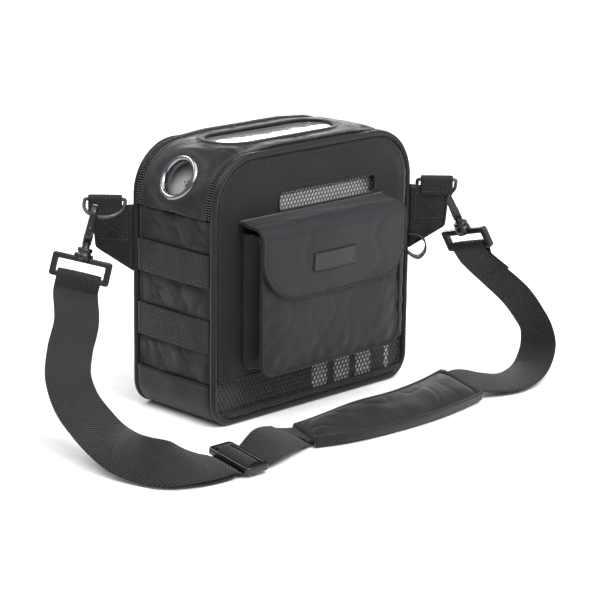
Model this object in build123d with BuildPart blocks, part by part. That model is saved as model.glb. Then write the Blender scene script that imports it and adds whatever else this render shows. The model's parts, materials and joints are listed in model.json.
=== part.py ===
from build123d import *
import math
import os

# A portable oxygen concentrator in its padded carry bag, with a shoulder strap.
# Millimetres. X runs across the bag, -Y is its front and +Z is up.
# The origin is the centre of the bag's underside.

# ---- driving dimensions -------------------------------------------------------

# the bag: its seam outline is where the piping runs
SEAM_HALF_WIDTH = 118.5
SEAM_LOW = 3.0
SEAM_HIGH = 232.0
TOP_RADIUS = 43.5
BOTTOM_RADIUS = 20.0
SEAM_Y = 49.0
PIPING_RADIUS = 3.0
GUSSET_Y = 46.0
WALL = 3.5
PANEL_FRONT_Y = 52.0
PANEL_INSET = 3.2
SEAM_GAP = 0.15

# zips: the chain runs between the piping's flange and the top gusset
ZIP_END_Z = 181.0
ZIP_INNER_Y = 41.1
ZIP_OUTER_Y = 45.9
ZIP_MIDDLE_Y = 43.5
ZIP_SPLIT = 0.3
TOP_GUSSET_Y = 41.0

# mesh windows in the front panel
SLOT_X = (-45.0, 72.0)
SLOT_Z = (180.5, 196.0)
LOWER_MESH_HALF_WIDTH = 107.0
LOWER_MESH_Z = (12.0, 39.0)
MESH_THICKNESS = 0.8

# clear window in the top, and the eyelet in its left corner
WINDOW_X = (-79.0, 65.0)
WINDOW_HALF_DEPTH = 24.0
EYELET_ANGLE = 30.0
EYELET_BORE = 16.0
EYELET_FLANGE = 21.5

# front pocket with a flap
POCKET_X = (-90.0, 80.0)
POCKET_Z = (46.0, 168.0)
POCKET_DEPTH = 26.0
POCKET_RADIUS = 14.0
FLAP_OVERHANG = 2.0
FLAP_SEAM_Z = 179.0
FLAP_DROP_Z = 111.0
FLAP_THICKNESS = 3.0
FLAP_GAP = 2.4

# webbing
BAND_WIDTH = 28.5
BAND_Z = (123.0, 66.0)
WEB_THICKNESS = 1.6
STRAP_WIDTH = 38.0
BOOT_Z = 36.0
BOOT_THICKNESS = 3.0

# strap wings, loops, rings and hooks, measured out from the corner seam
WING_HALF = 2.2
LOOP_GAP = 2.4
LOOP_U = (12.5, 41.5)
RING_BAR_Z = 184.5
RING_U = (9.5, 44.5)
RING_DEPTH = 26.0
RING_LOW = 8.0
RING_WIRE = 1.6
HOOK_LENGTH = 66.0
HOOK_HALF_WIDTH = 9.0
HOOK_WIRE = 3.9

# the concentrator
DEVICE_HALF_WIDTH = 106.0
DEVICE_Z = (8.0, 221.0)
DEVICE_Y = 44.0
DEVICE_TOP_RADIUS = 36.0
DEVICE_BOTTOM_RADIUS = 14.0
SHELL_WALL = 2.5

os.makedirs("parts", exist_ok=True)


def keep(piece, name):
    """Label a finished sub-part and write it as its own file."""
    piece.part.label = name
    export_step(piece.part, f"parts/{name}.step")


def upright(y):
    """Upright plane at depth y: its x is the bag's X, its y is the bag's Z."""
    return Plane(origin=(0, y, 0), x_dir=(1, 0, 0), z_dir=(0, -1, 0))


def arch(y, half_width, low, high, top_radius, bottom_radius):
    """Upright outline with large top corners and small bottom corners."""
    with BuildSketch(upright(y)) as face:
        with Locations((0, (low + high) / 2)):
            Rectangle(2 * half_width, high - low)
        fillet(face.vertices().group_by(Axis.Y)[-1], top_radius)
        fillet(face.vertices().group_by(Axis.Y)[0], bottom_radius)
    return face.sketch


def bag_outline(y, inset):
    """The bag's seam outline at depth y, drawn in by inset."""
    return arch(y, SEAM_HALF_WIDTH - inset, SEAM_LOW + inset, SEAM_HIGH - inset,
                TOP_RADIUS - inset, BOTTOM_RADIUS - inset)


def device_outline(y, inset):
    """The concentrator's outline at depth y, drawn in by inset."""
    return arch(y, DEVICE_HALF_WIDTH - inset, DEVICE_Z[0] + inset, DEVICE_Z[1] - inset,
                DEVICE_TOP_RADIUS - inset, DEVICE_BOTTOM_RADIUS - inset)


def window(y, x_span, z_span, radius):
    """Upright rectangle with rounded corners."""
    with BuildSketch(upright(y)) as face:
        with Locations((sum(x_span) / 2, sum(z_span) / 2)):
            RectangleRounded(x_span[1] - x_span[0], z_span[1] - z_span[0], radius)
    return face.sketch


def bag_band(y_high, y_low, inset_outer, inset_inner):
    """Hoop that follows the bag's outline, between two depths and two insets."""
    with BuildPart() as hoop:
        extrude(bag_outline(y_high, inset_outer), amount=y_high - y_low)
        extrude(bag_outline(y_high, inset_inner), amount=y_high - y_low, mode=Mode.SUBTRACT)
    return hoop.part


SEAM_PLANE = Plane.XY.offset(ZIP_END_Z)
ABOVE_SEAM = Plane.XY.offset(ZIP_END_Z + SEAM_GAP)
BELOW_SEAM = Plane.XY.offset(ZIP_END_Z - SEAM_GAP)
CORNER = Vector(-(SEAM_HALF_WIDTH - TOP_RADIUS), 0, SEAM_HIGH - TOP_RADIUS)
EYELET_AXIS = Vector(-math.cos(math.radians(EYELET_ANGLE)), 0, math.sin(math.radians(EYELET_ANGLE)))


def eyelet_plane(distance):
    """Plane across the eyelet's axis, at a distance from the corner's centre."""
    return Plane(origin=CORNER + EYELET_AXIS * distance, x_dir=(0, 1, 0), z_dir=EYELET_AXIS)


# ---- bag: panels, gussets and boot ----------------------------------------------

with BuildPart() as front_panel:
    extrude(bag_outline(-PANEL_FRONT_Y + WALL, PANEL_INSET), amount=WALL)
    extrude(window(-PANEL_FRONT_Y + WALL, SLOT_X, SLOT_Z, 3), amount=WALL, mode=Mode.SUBTRACT)
    extrude(window(-PANEL_FRONT_Y + WALL, (-LOWER_MESH_HALF_WIDTH, LOWER_MESH_HALF_WIDTH), LOWER_MESH_Z, 11),
            amount=WALL, mode=Mode.SUBTRACT)
keep(front_panel, "front_panel")

with BuildPart() as front_mesh:
    mesh_y = -PANEL_FRONT_Y + WALL + 0.1 + MESH_THICKNESS
    extrude(window(mesh_y, (SLOT_X[0] - 4, SLOT_X[1] + 4), (SLOT_Z[0] - 4, SLOT_Z[1] + 4), 5),
            amount=MESH_THICKNESS)
    extrude(window(mesh_y, (-LOWER_MESH_HALF_WIDTH - 4, LOWER_MESH_HALF_WIDTH + 4),
                   (LOWER_MESH_Z[0] - 3, LOWER_MESH_Z[1] + 4), 14), amount=MESH_THICKNESS)
keep(front_mesh, "front_mesh")

with BuildPart() as side_gusset:
    add(bag_band(GUSSET_Y, -GUSSET_Y, 0, WALL))
    split(bisect_by=BELOW_SEAM, keep=Keep.BOTTOM)
keep(side_gusset, "side_gusset")

with BuildPart() as top_gusset:
    add(bag_band(TOP_GUSSET_Y, -TOP_GUSSET_Y, 0, WALL))
    split(bisect_by=ABOVE_SEAM, keep=Keep.TOP)
    with BuildSketch(Plane.XY.offset(SEAM_HIGH - 2 * WALL)) as opening:
        with Locations((sum(WINDOW_X) / 2, 0)):
            SlotOverall(WINDOW_X[1] - WINDOW_X[0], 2 * WINDOW_HALF_DEPTH)
    extrude(amount=3 * WALL, mode=Mode.SUBTRACT)
    with BuildSketch(eyelet_plane(20)) as hole:
        Circle(EYELET_BORE + 1.6)
    extrude(amount=40, mode=Mode.SUBTRACT)
keep(top_gusset, "top_gusset")

with BuildPart() as top_window:
    with BuildSketch(Plane.XY.offset(SEAM_HIGH - 1.8)) as pane:
        with Locations((sum(WINDOW_X) / 2, 0)):
            SlotOverall(WINDOW_X[1] - WINDOW_X[0] - 0.4, 2 * WINDOW_HALF_DEPTH - 0.4)
    extrude(amount=1.0)
keep(top_window, "top_window")

with BuildPart() as eyelet:
    with BuildSketch(eyelet_plane(TOP_RADIUS + 0.1)) as flange:
        Circle(EYELET_FLANGE)
    extrude(amount=1.6)
    with BuildSketch(eyelet_plane(TOP_RADIUS - 7)) as barrel:
        Circle(EYELET_BORE + 1.4)
    extrude(amount=7.2)
    with BuildSketch(eyelet_plane(TOP_RADIUS - 10)) as bore:
        Circle(EYELET_BORE)
    extrude(amount=14, mode=Mode.SUBTRACT)
keep(eyelet, "eyelet")

with BuildPart() as bottom_boot:
    add(bag_band(GUSSET_Y - 0.2, -GUSSET_Y + 0.2, -BOOT_THICKNESS, -0.1))
    split(bisect_by=Plane.XY.offset(BOOT_Z), keep=Keep.BOTTOM)
keep(bottom_boot, "bottom_boot")


def panel_half(plane, side):
    """One half of the back panel, above or below the fold."""
    with BuildPart() as half:
        extrude(bag_outline(PANEL_FRONT_Y, PANEL_INSET), amount=WALL)
        split(bisect_by=plane, keep=side)
    return half.part


with BuildPart() as back_panel_lower:
    add(panel_half(BELOW_SEAM, Keep.BOTTOM))
keep(back_panel_lower, "back_panel_lower")

with BuildPart() as back_panel_upper:
    add(panel_half(ABOVE_SEAM, Keep.TOP))
keep(back_panel_upper, "back_panel_upper")


def piping_hoop(y):
    """Piping cord round the whole outline at depth y."""
    path = bag_outline(y, 0).face().outer_wire()
    with BuildPart() as hoop:
        with BuildSketch(Plane(origin=path @ 0, z_dir=path % 0)) as section:
            Circle(PIPING_RADIUS)
        sweep(section.sketch, path=path)
    return hoop.part


with BuildPart() as front_piping:
    add(piping_hoop(-SEAM_Y))
keep(front_piping, "front_piping")

with BuildPart() as back_piping_lower:
    add(piping_hoop(SEAM_Y))
    split(bisect_by=BELOW_SEAM, keep=Keep.BOTTOM)
keep(back_piping_lower, "back_piping_lower")

with BuildPart() as back_piping_upper:
    add(piping_hoop(SEAM_Y))
    split(bisect_by=ABOVE_SEAM, keep=Keep.TOP)
keep(back_piping_upper, "back_piping_upper")

# ---- zips -------------------------------------------------------------------------

with BuildPart() as front_zip_chain:
    add(bag_band(-ZIP_INNER_Y, -ZIP_MIDDLE_Y + ZIP_SPLIT, 0.4, 2.6))
    add(bag_band(-ZIP_MIDDLE_Y - ZIP_SPLIT, -ZIP_OUTER_Y, 0.4, 2.6))
    split(bisect_by=ABOVE_SEAM, keep=Keep.TOP)
keep(front_zip_chain, "front_zip_chain")

with BuildPart() as back_zip_inner:
    add(bag_band(ZIP_MIDDLE_Y - ZIP_SPLIT, ZIP_INNER_Y, 0.4, 2.6))
    split(bisect_by=ABOVE_SEAM, keep=Keep.TOP)
keep(back_zip_inner, "back_zip_inner")

with BuildPart() as back_zip_outer:
    add(bag_band(ZIP_OUTER_Y, ZIP_MIDDLE_Y + ZIP_SPLIT, 0.4, 2.6))
    split(bisect_by=ABOVE_SEAM, keep=Keep.TOP)
keep(back_zip_outer, "back_zip_outer")

SLIDER_LENGTH = 9.0
SLIDER_HALF_WIDTH = 2.3
PULL_PIN_OUT = 2.9
PULL_LENGTH = 17.0
SLIDER_Z = SEAM_HIGH - TOP_RADIUS


def side_plane(y, out):
    """Plane on the bag's right side: its x is the bag's Z and its normal points out."""
    return Plane(origin=(SEAM_HALF_WIDTH + out, y, SLIDER_Z), x_dir=(0, 0, 1), z_dir=(1, 0, 0))


def zip_slider(y):
    """Slider: an outer and an inner plate joined by a post, with cheeks for the pull."""
    with BuildPart() as slider:
        with BuildSketch(side_plane(y, 0.4)) as outer:
            RectangleRounded(SLIDER_LENGTH, 2 * SLIDER_HALF_WIDTH, 1.5)
        extrude(amount=1.2)
        with BuildSketch(side_plane(y, -5.2)) as inner:
            RectangleRounded(SLIDER_LENGTH, 2 * SLIDER_HALF_WIDTH, 1.5)
        extrude(amount=1.2)
        with BuildSketch(side_plane(y, -4.5)) as post:
            Rectangle(3, 0.4)
        extrude(amount=5.2)
        with BuildSketch(side_plane(y, 1.5)) as cheeks:
            with Locations((0, 1.95), (0, -1.95)):
                Rectangle(3, 0.7)
        extrude(amount=2.4)
        with BuildSketch(Plane(origin=(SEAM_HALF_WIDTH + PULL_PIN_OUT, y - 2, SLIDER_Z),
                               x_dir=(1, 0, 0), z_dir=(0, 1, 0))) as pin:
            Circle(0.6)
        extrude(amount=4)
    return slider.part


def zip_pull(y):
    """Pull tab: an eye round the slider's pin with a flat tongue hanging from it."""
    with BuildPart() as pull:
        with BuildSketch(Plane(origin=(SEAM_HALF_WIDTH + PULL_PIN_OUT, y - 1.5, SLIDER_Z),
                               x_dir=(1, 0, 0), z_dir=(0, 1, 0))) as eye:
            Circle(1.25)
        extrude(amount=3)
        with BuildSketch(side_plane(y, PULL_PIN_OUT - 0.6)) as tongue:
            with Locations((-PULL_LENGTH / 2 - 0.5, 0)):
                Rectangle(PULL_LENGTH - 0.6, 3)
        extrude(amount=1.2)
        with BuildSketch(Plane(origin=(SEAM_HALF_WIDTH + PULL_PIN_OUT, y - 3, SLIDER_Z),
                               x_dir=(1, 0, 0), z_dir=(0, 1, 0))) as hole:
            Circle(0.66)
        extrude(amount=6, mode=Mode.SUBTRACT)
    return pull.part


with BuildPart() as front_zip_slider:
    add(zip_slider(-ZIP_MIDDLE_Y))
keep(front_zip_slider, "front_zip_slider")

with BuildPart() as front_zip_pull:
    add(zip_pull(-ZIP_MIDDLE_Y))
keep(front_zip_pull, "front_zip_pull")

with BuildPart() as back_zip_slider:
    add(zip_slider(ZIP_MIDDLE_Y))
keep(back_zip_slider, "back_zip_slider")

with BuildPart() as back_zip_pull:
    add(zip_pull(ZIP_MIDDLE_Y))
keep(back_zip_pull, "back_zip_pull")

# ---- side bands, side loop ----------------------------------------------------------


def side_bands(side):
    """Two flat bands of webbing across one side of the bag."""
    with BuildPart() as bands:
        for low in BAND_Z:
            with BuildSketch(Plane.XY.offset(low)) as strip:
                with Locations((side * (SEAM_HALF_WIDTH + 0.1 + WEB_THICKNESS / 2), 0)):
                    Rectangle(WEB_THICKNESS, 2 * GUSSET_Y - 1)
            extrude(amount=BAND_WIDTH)
    return bands.part


with BuildPart() as webbing_bands:
    add(side_bands(-1))
    add(side_bands(1))
keep(webbing_bands, "webbing_bands")

# ---- front pocket ---------------------------------------------------------------------

POCKET_FRONT_Y = -PANEL_FRONT_Y - POCKET_DEPTH
FLAP_FRONT_Y = POCKET_FRONT_Y - FLAP_GAP - FLAP_THICKNESS
FLAP_X = (POCKET_X[0] - FLAP_OVERHANG, POCKET_X[1] + FLAP_OVERHANG)
FLAP_SLOPE = 3.5

with BuildPart() as pocket_front:
    with BuildSketch(upright(POCKET_FRONT_Y + 2.5)) as sheet:
        with Locations((sum(POCKET_X) / 2, sum(POCKET_Z) / 2)):
            Rectangle(POCKET_X[1] - POCKET_X[0], POCKET_Z[1] - POCKET_Z[0])
        fillet(sheet.vertices().group_by(Axis.Y)[0], 14)
    extrude(amount=2.5)
keep(pocket_front, "pocket_front")



def pocket_outline(inset):
    """Pocket outline with round lower corners, moved in at its sides and bottom."""
    with BuildSketch() as outline:
        with Locations((sum(POCKET_X) / 2, (sum(POCKET_Z) + inset) / 2)):
            Rectangle(POCKET_X[1] - POCKET_X[0] - 2 * inset, POCKET_Z[1] - POCKET_Z[0] - inset)
        fillet(outline.vertices().group_by(Axis.Y)[0], POCKET_RADIUS - inset)
    return outline.sketch


with BuildPart() as pocket_gusset:
    with BuildSketch(upright(-PANEL_FRONT_Y - 0.1)):
        add(pocket_outline(0))
        add(pocket_outline(2), mode=Mode.SUBTRACT)
    extrude(amount=POCKET_DEPTH - 2.5 - 0.2)
keep(pocket_gusset, "pocket_gusset")

with BuildPart() as flap_top:
    with BuildSketch(Plane.YZ.offset(FLAP_X[0])) as section:
        Polygon((-PANEL_FRONT_Y - 0.1, FLAP_SEAM_Z), (-PANEL_FRONT_Y - 0.1, FLAP_SEAM_Z - FLAP_THICKNESS),
                (FLAP_FRONT_Y, FLAP_SEAM_Z - FLAP_SLOPE - FLAP_THICKNESS), (FLAP_FRONT_Y, FLAP_SEAM_Z - FLAP_SLOPE),
                align=None)
    extrude(amount=FLAP_X[1] - FLAP_X[0])
keep(flap_top, "flap_top")

FLAP_FOLD_Z = FLAP_SEAM_Z - FLAP_SLOPE
FLAP_FRONT_TOP = FLAP_FOLD_Z - FLAP_THICKNESS - 0.3

with BuildPart() as flap_front:
    with BuildSketch(upright(FLAP_FRONT_Y + FLAP_THICKNESS)) as tongue:
        with Locations((sum(FLAP_X) / 2, (FLAP_FRONT_TOP + FLAP_DROP_Z) / 2)):
            Rectangle(FLAP_X[1] - FLAP_X[0], FLAP_FRONT_TOP - FLAP_DROP_Z)
        fillet(tongue.vertices().group_by(Axis.Y)[0], 28)
    extrude(amount=FLAP_THICKNESS)
keep(flap_front, "flap_front")

CLOSURE_X = (-40.0, 30.0)

with BuildPart() as flap_closure:
    extrude(window(FLAP_FRONT_Y + FLAP_THICKNESS + 1.0, CLOSURE_X, (116, 136), 3), amount=1.0)
keep(flap_closure, "flap_closure")

with BuildPart() as pocket_closure:
    extrude(window(POCKET_FRONT_Y, CLOSURE_X, (114, 138), 3), amount=1.1)
keep(pocket_closure, "pocket_closure")

with BuildPart() as label_patch:
    extrude(window(FLAP_FRONT_Y, (-30, 21), (131, 148), 1.5), amount=0.8)
keep(label_patch, "label_patch")

# ---- strap wings, loops and rings --------------------------------------------------------

DIAGONAL = math.sqrt(0.5)
LEFT = -1
RIGHT = 1


def out_of(side):
    """Direction in which a side's strap wing leaves the corner seam."""
    return Vector(side * DIAGONAL, -side * DIAGONAL, 0)


def across(side):
    """Direction square to a side's strap wing."""
    return Vector(-side * DIAGONAL, -side * DIAGONAL, 0)


def wing_point(side, u, n, z):
    """Point u out along a side's wing, n off its face and z up."""
    seam = Vector(side * SEAM_HALF_WIDTH, -side * SEAM_Y, 0)
    return seam + out_of(side) * u + across(side) * n + Vector(0, 0, z)


def wing_plane(side, n):
    """Plane of a side's wing: its x runs outwards and its y is up."""
    return Plane(origin=wing_point(side, 0, n, 0), x_dir=out_of(side), z_dir=across(side))


with BuildPart() as strap_wings:
    for side in (LEFT, RIGHT):
        with BuildSketch(wing_plane(side, -WING_HALF)) as tab:
            Polygon((3.1, 122), (3.1, 179), (37, 175), (34, 143), align=None)
        extrude(amount=2 * WING_HALF)
keep(strap_wings, "strap_wings")

with BuildPart() as ring_loops:
    for side in (LEFT, RIGHT):
        section_plane = Plane(origin=wing_point(side, LOOP_U[0], 0, 0), x_dir=across(side) * -1,
                              z_dir=out_of(side))
        with BuildSketch(section_plane) as fold:
            for reach, mode in ((LOOP_GAP + WEB_THICKNESS, Mode.ADD), (LOOP_GAP, Mode.SUBTRACT)):
                with Locations((0, RING_BAR_Z)):
                    Circle(reach, mode=mode)
                with Locations((0, (RING_BAR_Z + 148) / 2)):
                    Rectangle(2 * reach, RING_BAR_Z - 148, mode=mode)
        extrude(amount=LOOP_U[1] - LOOP_U[0])
keep(ring_loops, "ring_loops")


# The hook holds each ring out from its wing, and has slid towards the ring's outer end.
RING_TILT = {LEFT: 66.0, RIGHT: 40.0}
HOOK_U = {LEFT: 35.5, RIGHT: 38.0}


def ring_point(side, u, s):
    """Point on a hanging ring's plane, s below its bar."""
    tilt = math.radians(RING_TILT[side])
    return wing_point(side, u, -s * math.sin(tilt), RING_BAR_Z - s * math.cos(tilt))


def strap_ring(side):
    """Flat ring with a straight bar and a rounded lower rim, hanging off its loop."""
    middle = sum(RING_U) / 2
    down = (ring_point(side, middle, 1) - ring_point(side, middle, 0)).normalized()
    plane = Plane(origin=ring_point(side, middle, 0), x_dir=out_of(side), z_dir=out_of(side).cross(down))
    half = (RING_U[1] - RING_U[0]) / 2
    with BuildPart() as ring:
        with BuildSketch(plane.offset(-RING_WIRE)) as rim:
            for reach, mode in ((RING_WIRE, Mode.ADD), (-RING_WIRE, Mode.SUBTRACT)):
                with BuildLine():
                    Polyline((-half - reach, RING_LOW), (-half - reach, -reach), (half + reach, -reach),
                             (half + reach, RING_LOW))
                    ThreePointArc((half + reach, RING_LOW), (0, RING_DEPTH + reach), (-half - reach, RING_LOW))
                make_face(mode=mode)
        extrude(amount=2 * RING_WIRE)
        fillet(ring.edges().filter_by(GeomType.LINE).filter_by(Axis(plane.origin, plane.x_dir)), 0.8)
    return ring.part


with BuildPart() as left_ring:
    add(strap_ring(LEFT))
keep(left_ring, "left_ring")

with BuildPart() as right_ring:
    add(strap_ring(RIGHT))
keep(right_ring, "right_ring")

# ---- swivel hooks ---------------------------------------------------------------------------
# Each hook hangs from its ring's rim along its own axis, given in the wing's directions.

HOOK_LEAN = {LEFT: (-0.2115, 0.2542, 0.943), RIGHT: (-0.42, 0.1, 0.9)}
FRAME_WIDE = {LEFT: (0.981, 0.053, 0.189), RIGHT: (0.698, 0.668, 0.253)}
RIM_CLEARANCE = 9.8
HEAD_LENGTH = 34.0
COLLAR_TOP = 39.0
COLLAR_LENGTH = 7.0
FRAME_HALF_WIDTH = 24.5


def hook_axis(side):
    """Unit vector from a hook's strap frame up to its tip."""
    u, n, z = HOOK_LEAN[side]
    return (out_of(side) * u + across(side) * n + Vector(0, 0, z)).normalized()


def rim_depth(side):
    """How far below the bar a ring's rim lies where its hook hangs."""
    half = (RING_U[1] - RING_U[0]) / 2
    drop = RING_DEPTH - RING_LOW
    rim_radius = (half ** 2 + drop ** 2) / (2 * drop)
    return RING_DEPTH - rim_radius + math.sqrt(rim_radius ** 2 - (HOOK_U[side] - sum(RING_U) / 2) ** 2)


def hook_tip(side):
    """Top of a hook's arch."""
    return ring_point(side, HOOK_U[side], rim_depth(side)) + hook_axis(side) * RIM_CLEARANCE


def hook_plane(side):
    """Plane of a hook's arch, origin at the tip: its y runs up the hook."""
    axis = hook_axis(side)
    flat = across(side) - axis * across(side).dot(axis)
    return Plane(origin=hook_tip(side), x_dir=flat, z_dir=flat.cross(axis))


def frame_plane(side):
    """Plane of a strap frame, origin at the tip: its x runs along the webbing's width."""
    axis = hook_axis(side)
    u, n, z = FRAME_WIDE[side]
    wide = out_of(side) * u + across(side) * n + Vector(0, 0, z)
    wide = wide - axis * wide.dot(axis)
    return Plane(origin=hook_tip(side), x_dir=wide, z_dir=wide.cross(axis))


def hook_body(side):
    """Snap hook: an oval head with a gap for the gate, on a turned shank."""
    with BuildPart() as hook:
        with BuildSketch(hook_plane(side).offset(-3)) as head:
            with Locations((0, -HEAD_LENGTH / 2)):
                SlotOverall(HEAD_LENGTH, 2 * HOOK_HALF_WIDTH, rotation=90)
                SlotOverall(HEAD_LENGTH - 2 * HOOK_WIRE, 2 * (HOOK_HALF_WIDTH - HOOK_WIRE), rotation=90,
                            mode=Mode.SUBTRACT)
            with Locations((-HOOK_HALF_WIDTH + 1, -HEAD_LENGTH / 2 - 1)):
                Rectangle(HOOK_HALF_WIDTH, 17, mode=Mode.SUBTRACT)
        extrude(amount=6)
        shank = Plane(origin=hook_tip(side) - hook_axis(side) * (HEAD_LENGTH - 1), z_dir=hook_axis(side) * -1)
        with BuildSketch(shank) as round_shank:
            Circle(3.4)
        extrude(amount=13)
        with BuildSketch(shank.offset(13)) as button:
            Circle(4.6)
        extrude(amount=1.5)
    return hook.part


def hook_gate(side):
    """Sprung gate that closes the hook's gap from inside."""
    with BuildPart() as gate:
        with BuildSketch(hook_plane(side).offset(-2.4)) as bar:
            with Locations((-HOOK_HALF_WIDTH + HOOK_WIRE / 2 + 0.3, -HEAD_LENGTH / 2 - 1)):
                RectangleRounded(3.2, 16.4, 1.5)
        extrude(amount=4.8)
    return gate.part


def hook_frame(side):
    """Strap frame: a swivel collar over a rectangular loop for the webbing."""
    frame_face = frame_plane(side)
    collar_end = COLLAR_TOP + COLLAR_LENGTH
    with BuildPart() as frame:
        collar = Plane(origin=hook_tip(side) - hook_axis(side) * COLLAR_TOP, z_dir=hook_axis(side) * -1)
        with BuildSketch(collar) as sleeve:
            Circle(6)
        extrude(amount=COLLAR_LENGTH + 5)
        with BuildSketch(frame_face.offset(-2.5)) as loop:
            with Locations((0, -(collar_end + HOOK_LENGTH) / 2)):
                RectangleRounded(2 * FRAME_HALF_WIDTH, HOOK_LENGTH - collar_end, 3)
            with Locations((0, -(collar_end + HOOK_LENGTH) / 2 - 0.5)):
                RectangleRounded(2 * FRAME_HALF_WIDTH - 9, HOOK_LENGTH - collar_end - 9, 1.5, mode=Mode.SUBTRACT)
        extrude(amount=5)
        with BuildSketch(collar) as bore:
            Circle(3.5)
        extrude(amount=COLLAR_LENGTH, mode=Mode.SUBTRACT)
        with BuildSketch(collar.offset(COLLAR_LENGTH)) as pocket:
            Circle(5)
        extrude(amount=3, mode=Mode.SUBTRACT)
    return frame.part


with BuildPart() as left_hook:
    add(hook_body(LEFT))
keep(left_hook, "left_hook")

with BuildPart() as right_hook:
    add(hook_body(RIGHT))
keep(right_hook, "right_hook")

with BuildPart() as left_gate:
    add(hook_gate(LEFT))
keep(left_gate, "left_gate")

with BuildPart() as right_gate:
    add(hook_gate(RIGHT))
keep(right_gate, "right_gate")

with BuildPart() as hook_frames:
    add(hook_frame(LEFT))
    add(hook_frame(RIGHT))
keep(hook_frames, "hook_frames")

# ---- shoulder strap ---------------------------------------------------------------------------
# Each stretch is a list of stations: the middle of the webbing, and its across direction,
# which points to the edge that lies nearer the bag.

LEFT_FOOT = hook_tip(LEFT) - hook_axis(LEFT) * (HOOK_LENGTH + 2.5)
RIGHT_FOOT = hook_tip(RIGHT) - hook_axis(RIGHT) * (HOOK_LENGTH + 2.5)
LAYER_STEP = 4.0

LEFT_ROUTE = [
    (tuple(LEFT_FOOT), tuple(frame_plane(LEFT).x_dir * -1)),
    (tuple(LEFT_FOOT - hook_axis(LEFT) * 8), tuple(frame_plane(LEFT).x_dir * -1)),
    ((-198, 35, 94), (0.7, -0.7, -0.1)),
    ((-217.5, 20.5, 76), (0.7, -0.7, 0.0)),
    ((-235, 2, 60), (0.75, -0.65, 0.15)),
    ((-243, -18, 45), (0.87, -0.4, 0.3)),
    ((-247, -41, 34), (0.88, -0.38, 0.36)),
    ((-251, -66, 26), (0.85, -0.3, 0.45)),
    ((-254, -90, 21.5), (0.6, -0.2, 0.78)),
    ((-252, -112, 20), (0.4, 0.0, 0.91)),
    ((-242, -128, 19), (0.45, 0.4, 0.79)),
    ((-225, -135, 15.5), (0.35, 0.78, 0.5)),
    ((-204, -137, 11), (0.15, 0.95, 0.25)),
    ((-187, -137, 9.5), (0.03, 0.99, 0.12)),
]
MIDDLE_ROUTE = [
    ((-157, -137, 10), (0.0, 0.99, 0.12)),
    ((-147, -137, 12), (-0.05, 0.95, 0.28)),
    ((-133, -134.5, 13.5), (-0.2, 0.9, 0.36)),
    ((-117, -129.5, 12.5), (-0.22, 0.92, 0.32)),
    ((-103, -124.5, 9.5), (-0.1, 0.97, 0.22)),
    ((-94, -119.5, 6.6), (0.2, 0.97, 0.06)),
    ((-87.4, -120.4, 6), (0.35, 0.93, 0.0)),
]
PAD_ROUTE = [
    ((-84, -122, 6.2), (0.62, 0.78, 0.02)),
    ((-55, -133, 9.5), (0.4, 0.9, 0.13)),
    ((-16, -139, 11.8), (0.1, 0.96, 0.25)),
    ((30, -141, 12), (0.0, 0.965, 0.25)),
    ((72, -138, 12.6), (-0.05, 0.96, 0.28)),
    ((106, -133, 13.8), (-0.1, 0.94, 0.33)),
]
RIGHT_ROUTE = [
    ((110.5, -132.4, 13.9), (-0.15, 0.94, 0.33)),
    ((119, -131.6, 13.3), (-0.1, 0.94, 0.33)),
    ((133, -137, 10), (0.15, 0.95, 0.25)),
    ((155, -143, 7), (0.15, 0.98, 0.15)),
    ((182, -140, 7), (-0.1, 0.99, 0.05)),
    ((206, -132.5, 13), (-0.15, 0.98, -0.05)),
    ((219, -127, 27), (-0.1, 0.99, -0.05)),
    ((219, -124, 42), (-0.05, 0.99, -0.1)),
    ((214, -117, 57), (-0.08, 0.97, -0.18)),
    ((205, -109, 73), (-0.13, 0.96, -0.22)),
    ((192.5, -97, 89), (-0.12, 0.96, -0.23)),
    (tuple(RIGHT_FOOT - hook_axis(RIGHT) * 8), tuple(frame_plane(RIGHT).x_dir * -1)),
    (tuple(RIGHT_FOOT), tuple(frame_plane(RIGHT).x_dir * -1)),
]


def route_planes(route, shift=0.0):
    """Planes square to a route, x across the webbing, moved off its face by shift."""
    points = [Vector(*place) for place, _ in route]
    planes = []
    for index, (_, across_dir) in enumerate(route):
        ahead = points[min(index + 1, len(points) - 1)] - points[max(index - 1, 0)]
        along = ahead.normalized()
        wide = Vector(*across_dir)
        wide = (wide - along * wide.dot(along)).normalized()
        planes.append(Plane(origin=points[index] + along.cross(wide) * shift, x_dir=wide, z_dir=along))
    return planes


def webbing(route, width, thickness, shift=0.0):
    """Webbing or pad: one closed solid lofted through the route's stations."""
    with BuildPart() as strip:
        for plane in route_planes(route, shift):
            with BuildSketch(plane):
                Rectangle(width, thickness)
        loft()
    return strip.part


with BuildPart() as strap_left_outer:
    add(webbing(LEFT_ROUTE, STRAP_WIDTH, WEB_THICKNESS))
keep(strap_left_outer, "strap_left_outer")

with BuildPart() as strap_left_inner:
    add(webbing(LEFT_ROUTE, STRAP_WIDTH, WEB_THICKNESS, -LAYER_STEP))
keep(strap_left_inner, "strap_left_inner")

with BuildPart() as strap_middle:
    add(webbing(MIDDLE_ROUTE, STRAP_WIDTH, WEB_THICKNESS))
keep(strap_middle, "strap_middle")

with BuildPart() as strap_right:
    add(webbing(RIGHT_ROUTE, STRAP_WIDTH, WEB_THICKNESS))
keep(strap_right, "strap_right")

PAD_WIDTH = 50.0
PAD_THICKNESS = 10.0

with BuildPart() as shoulder_pad:
    add(webbing(PAD_ROUTE, PAD_WIDTH, PAD_THICKNESS))
keep(shoulder_pad, "shoulder_pad")

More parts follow.
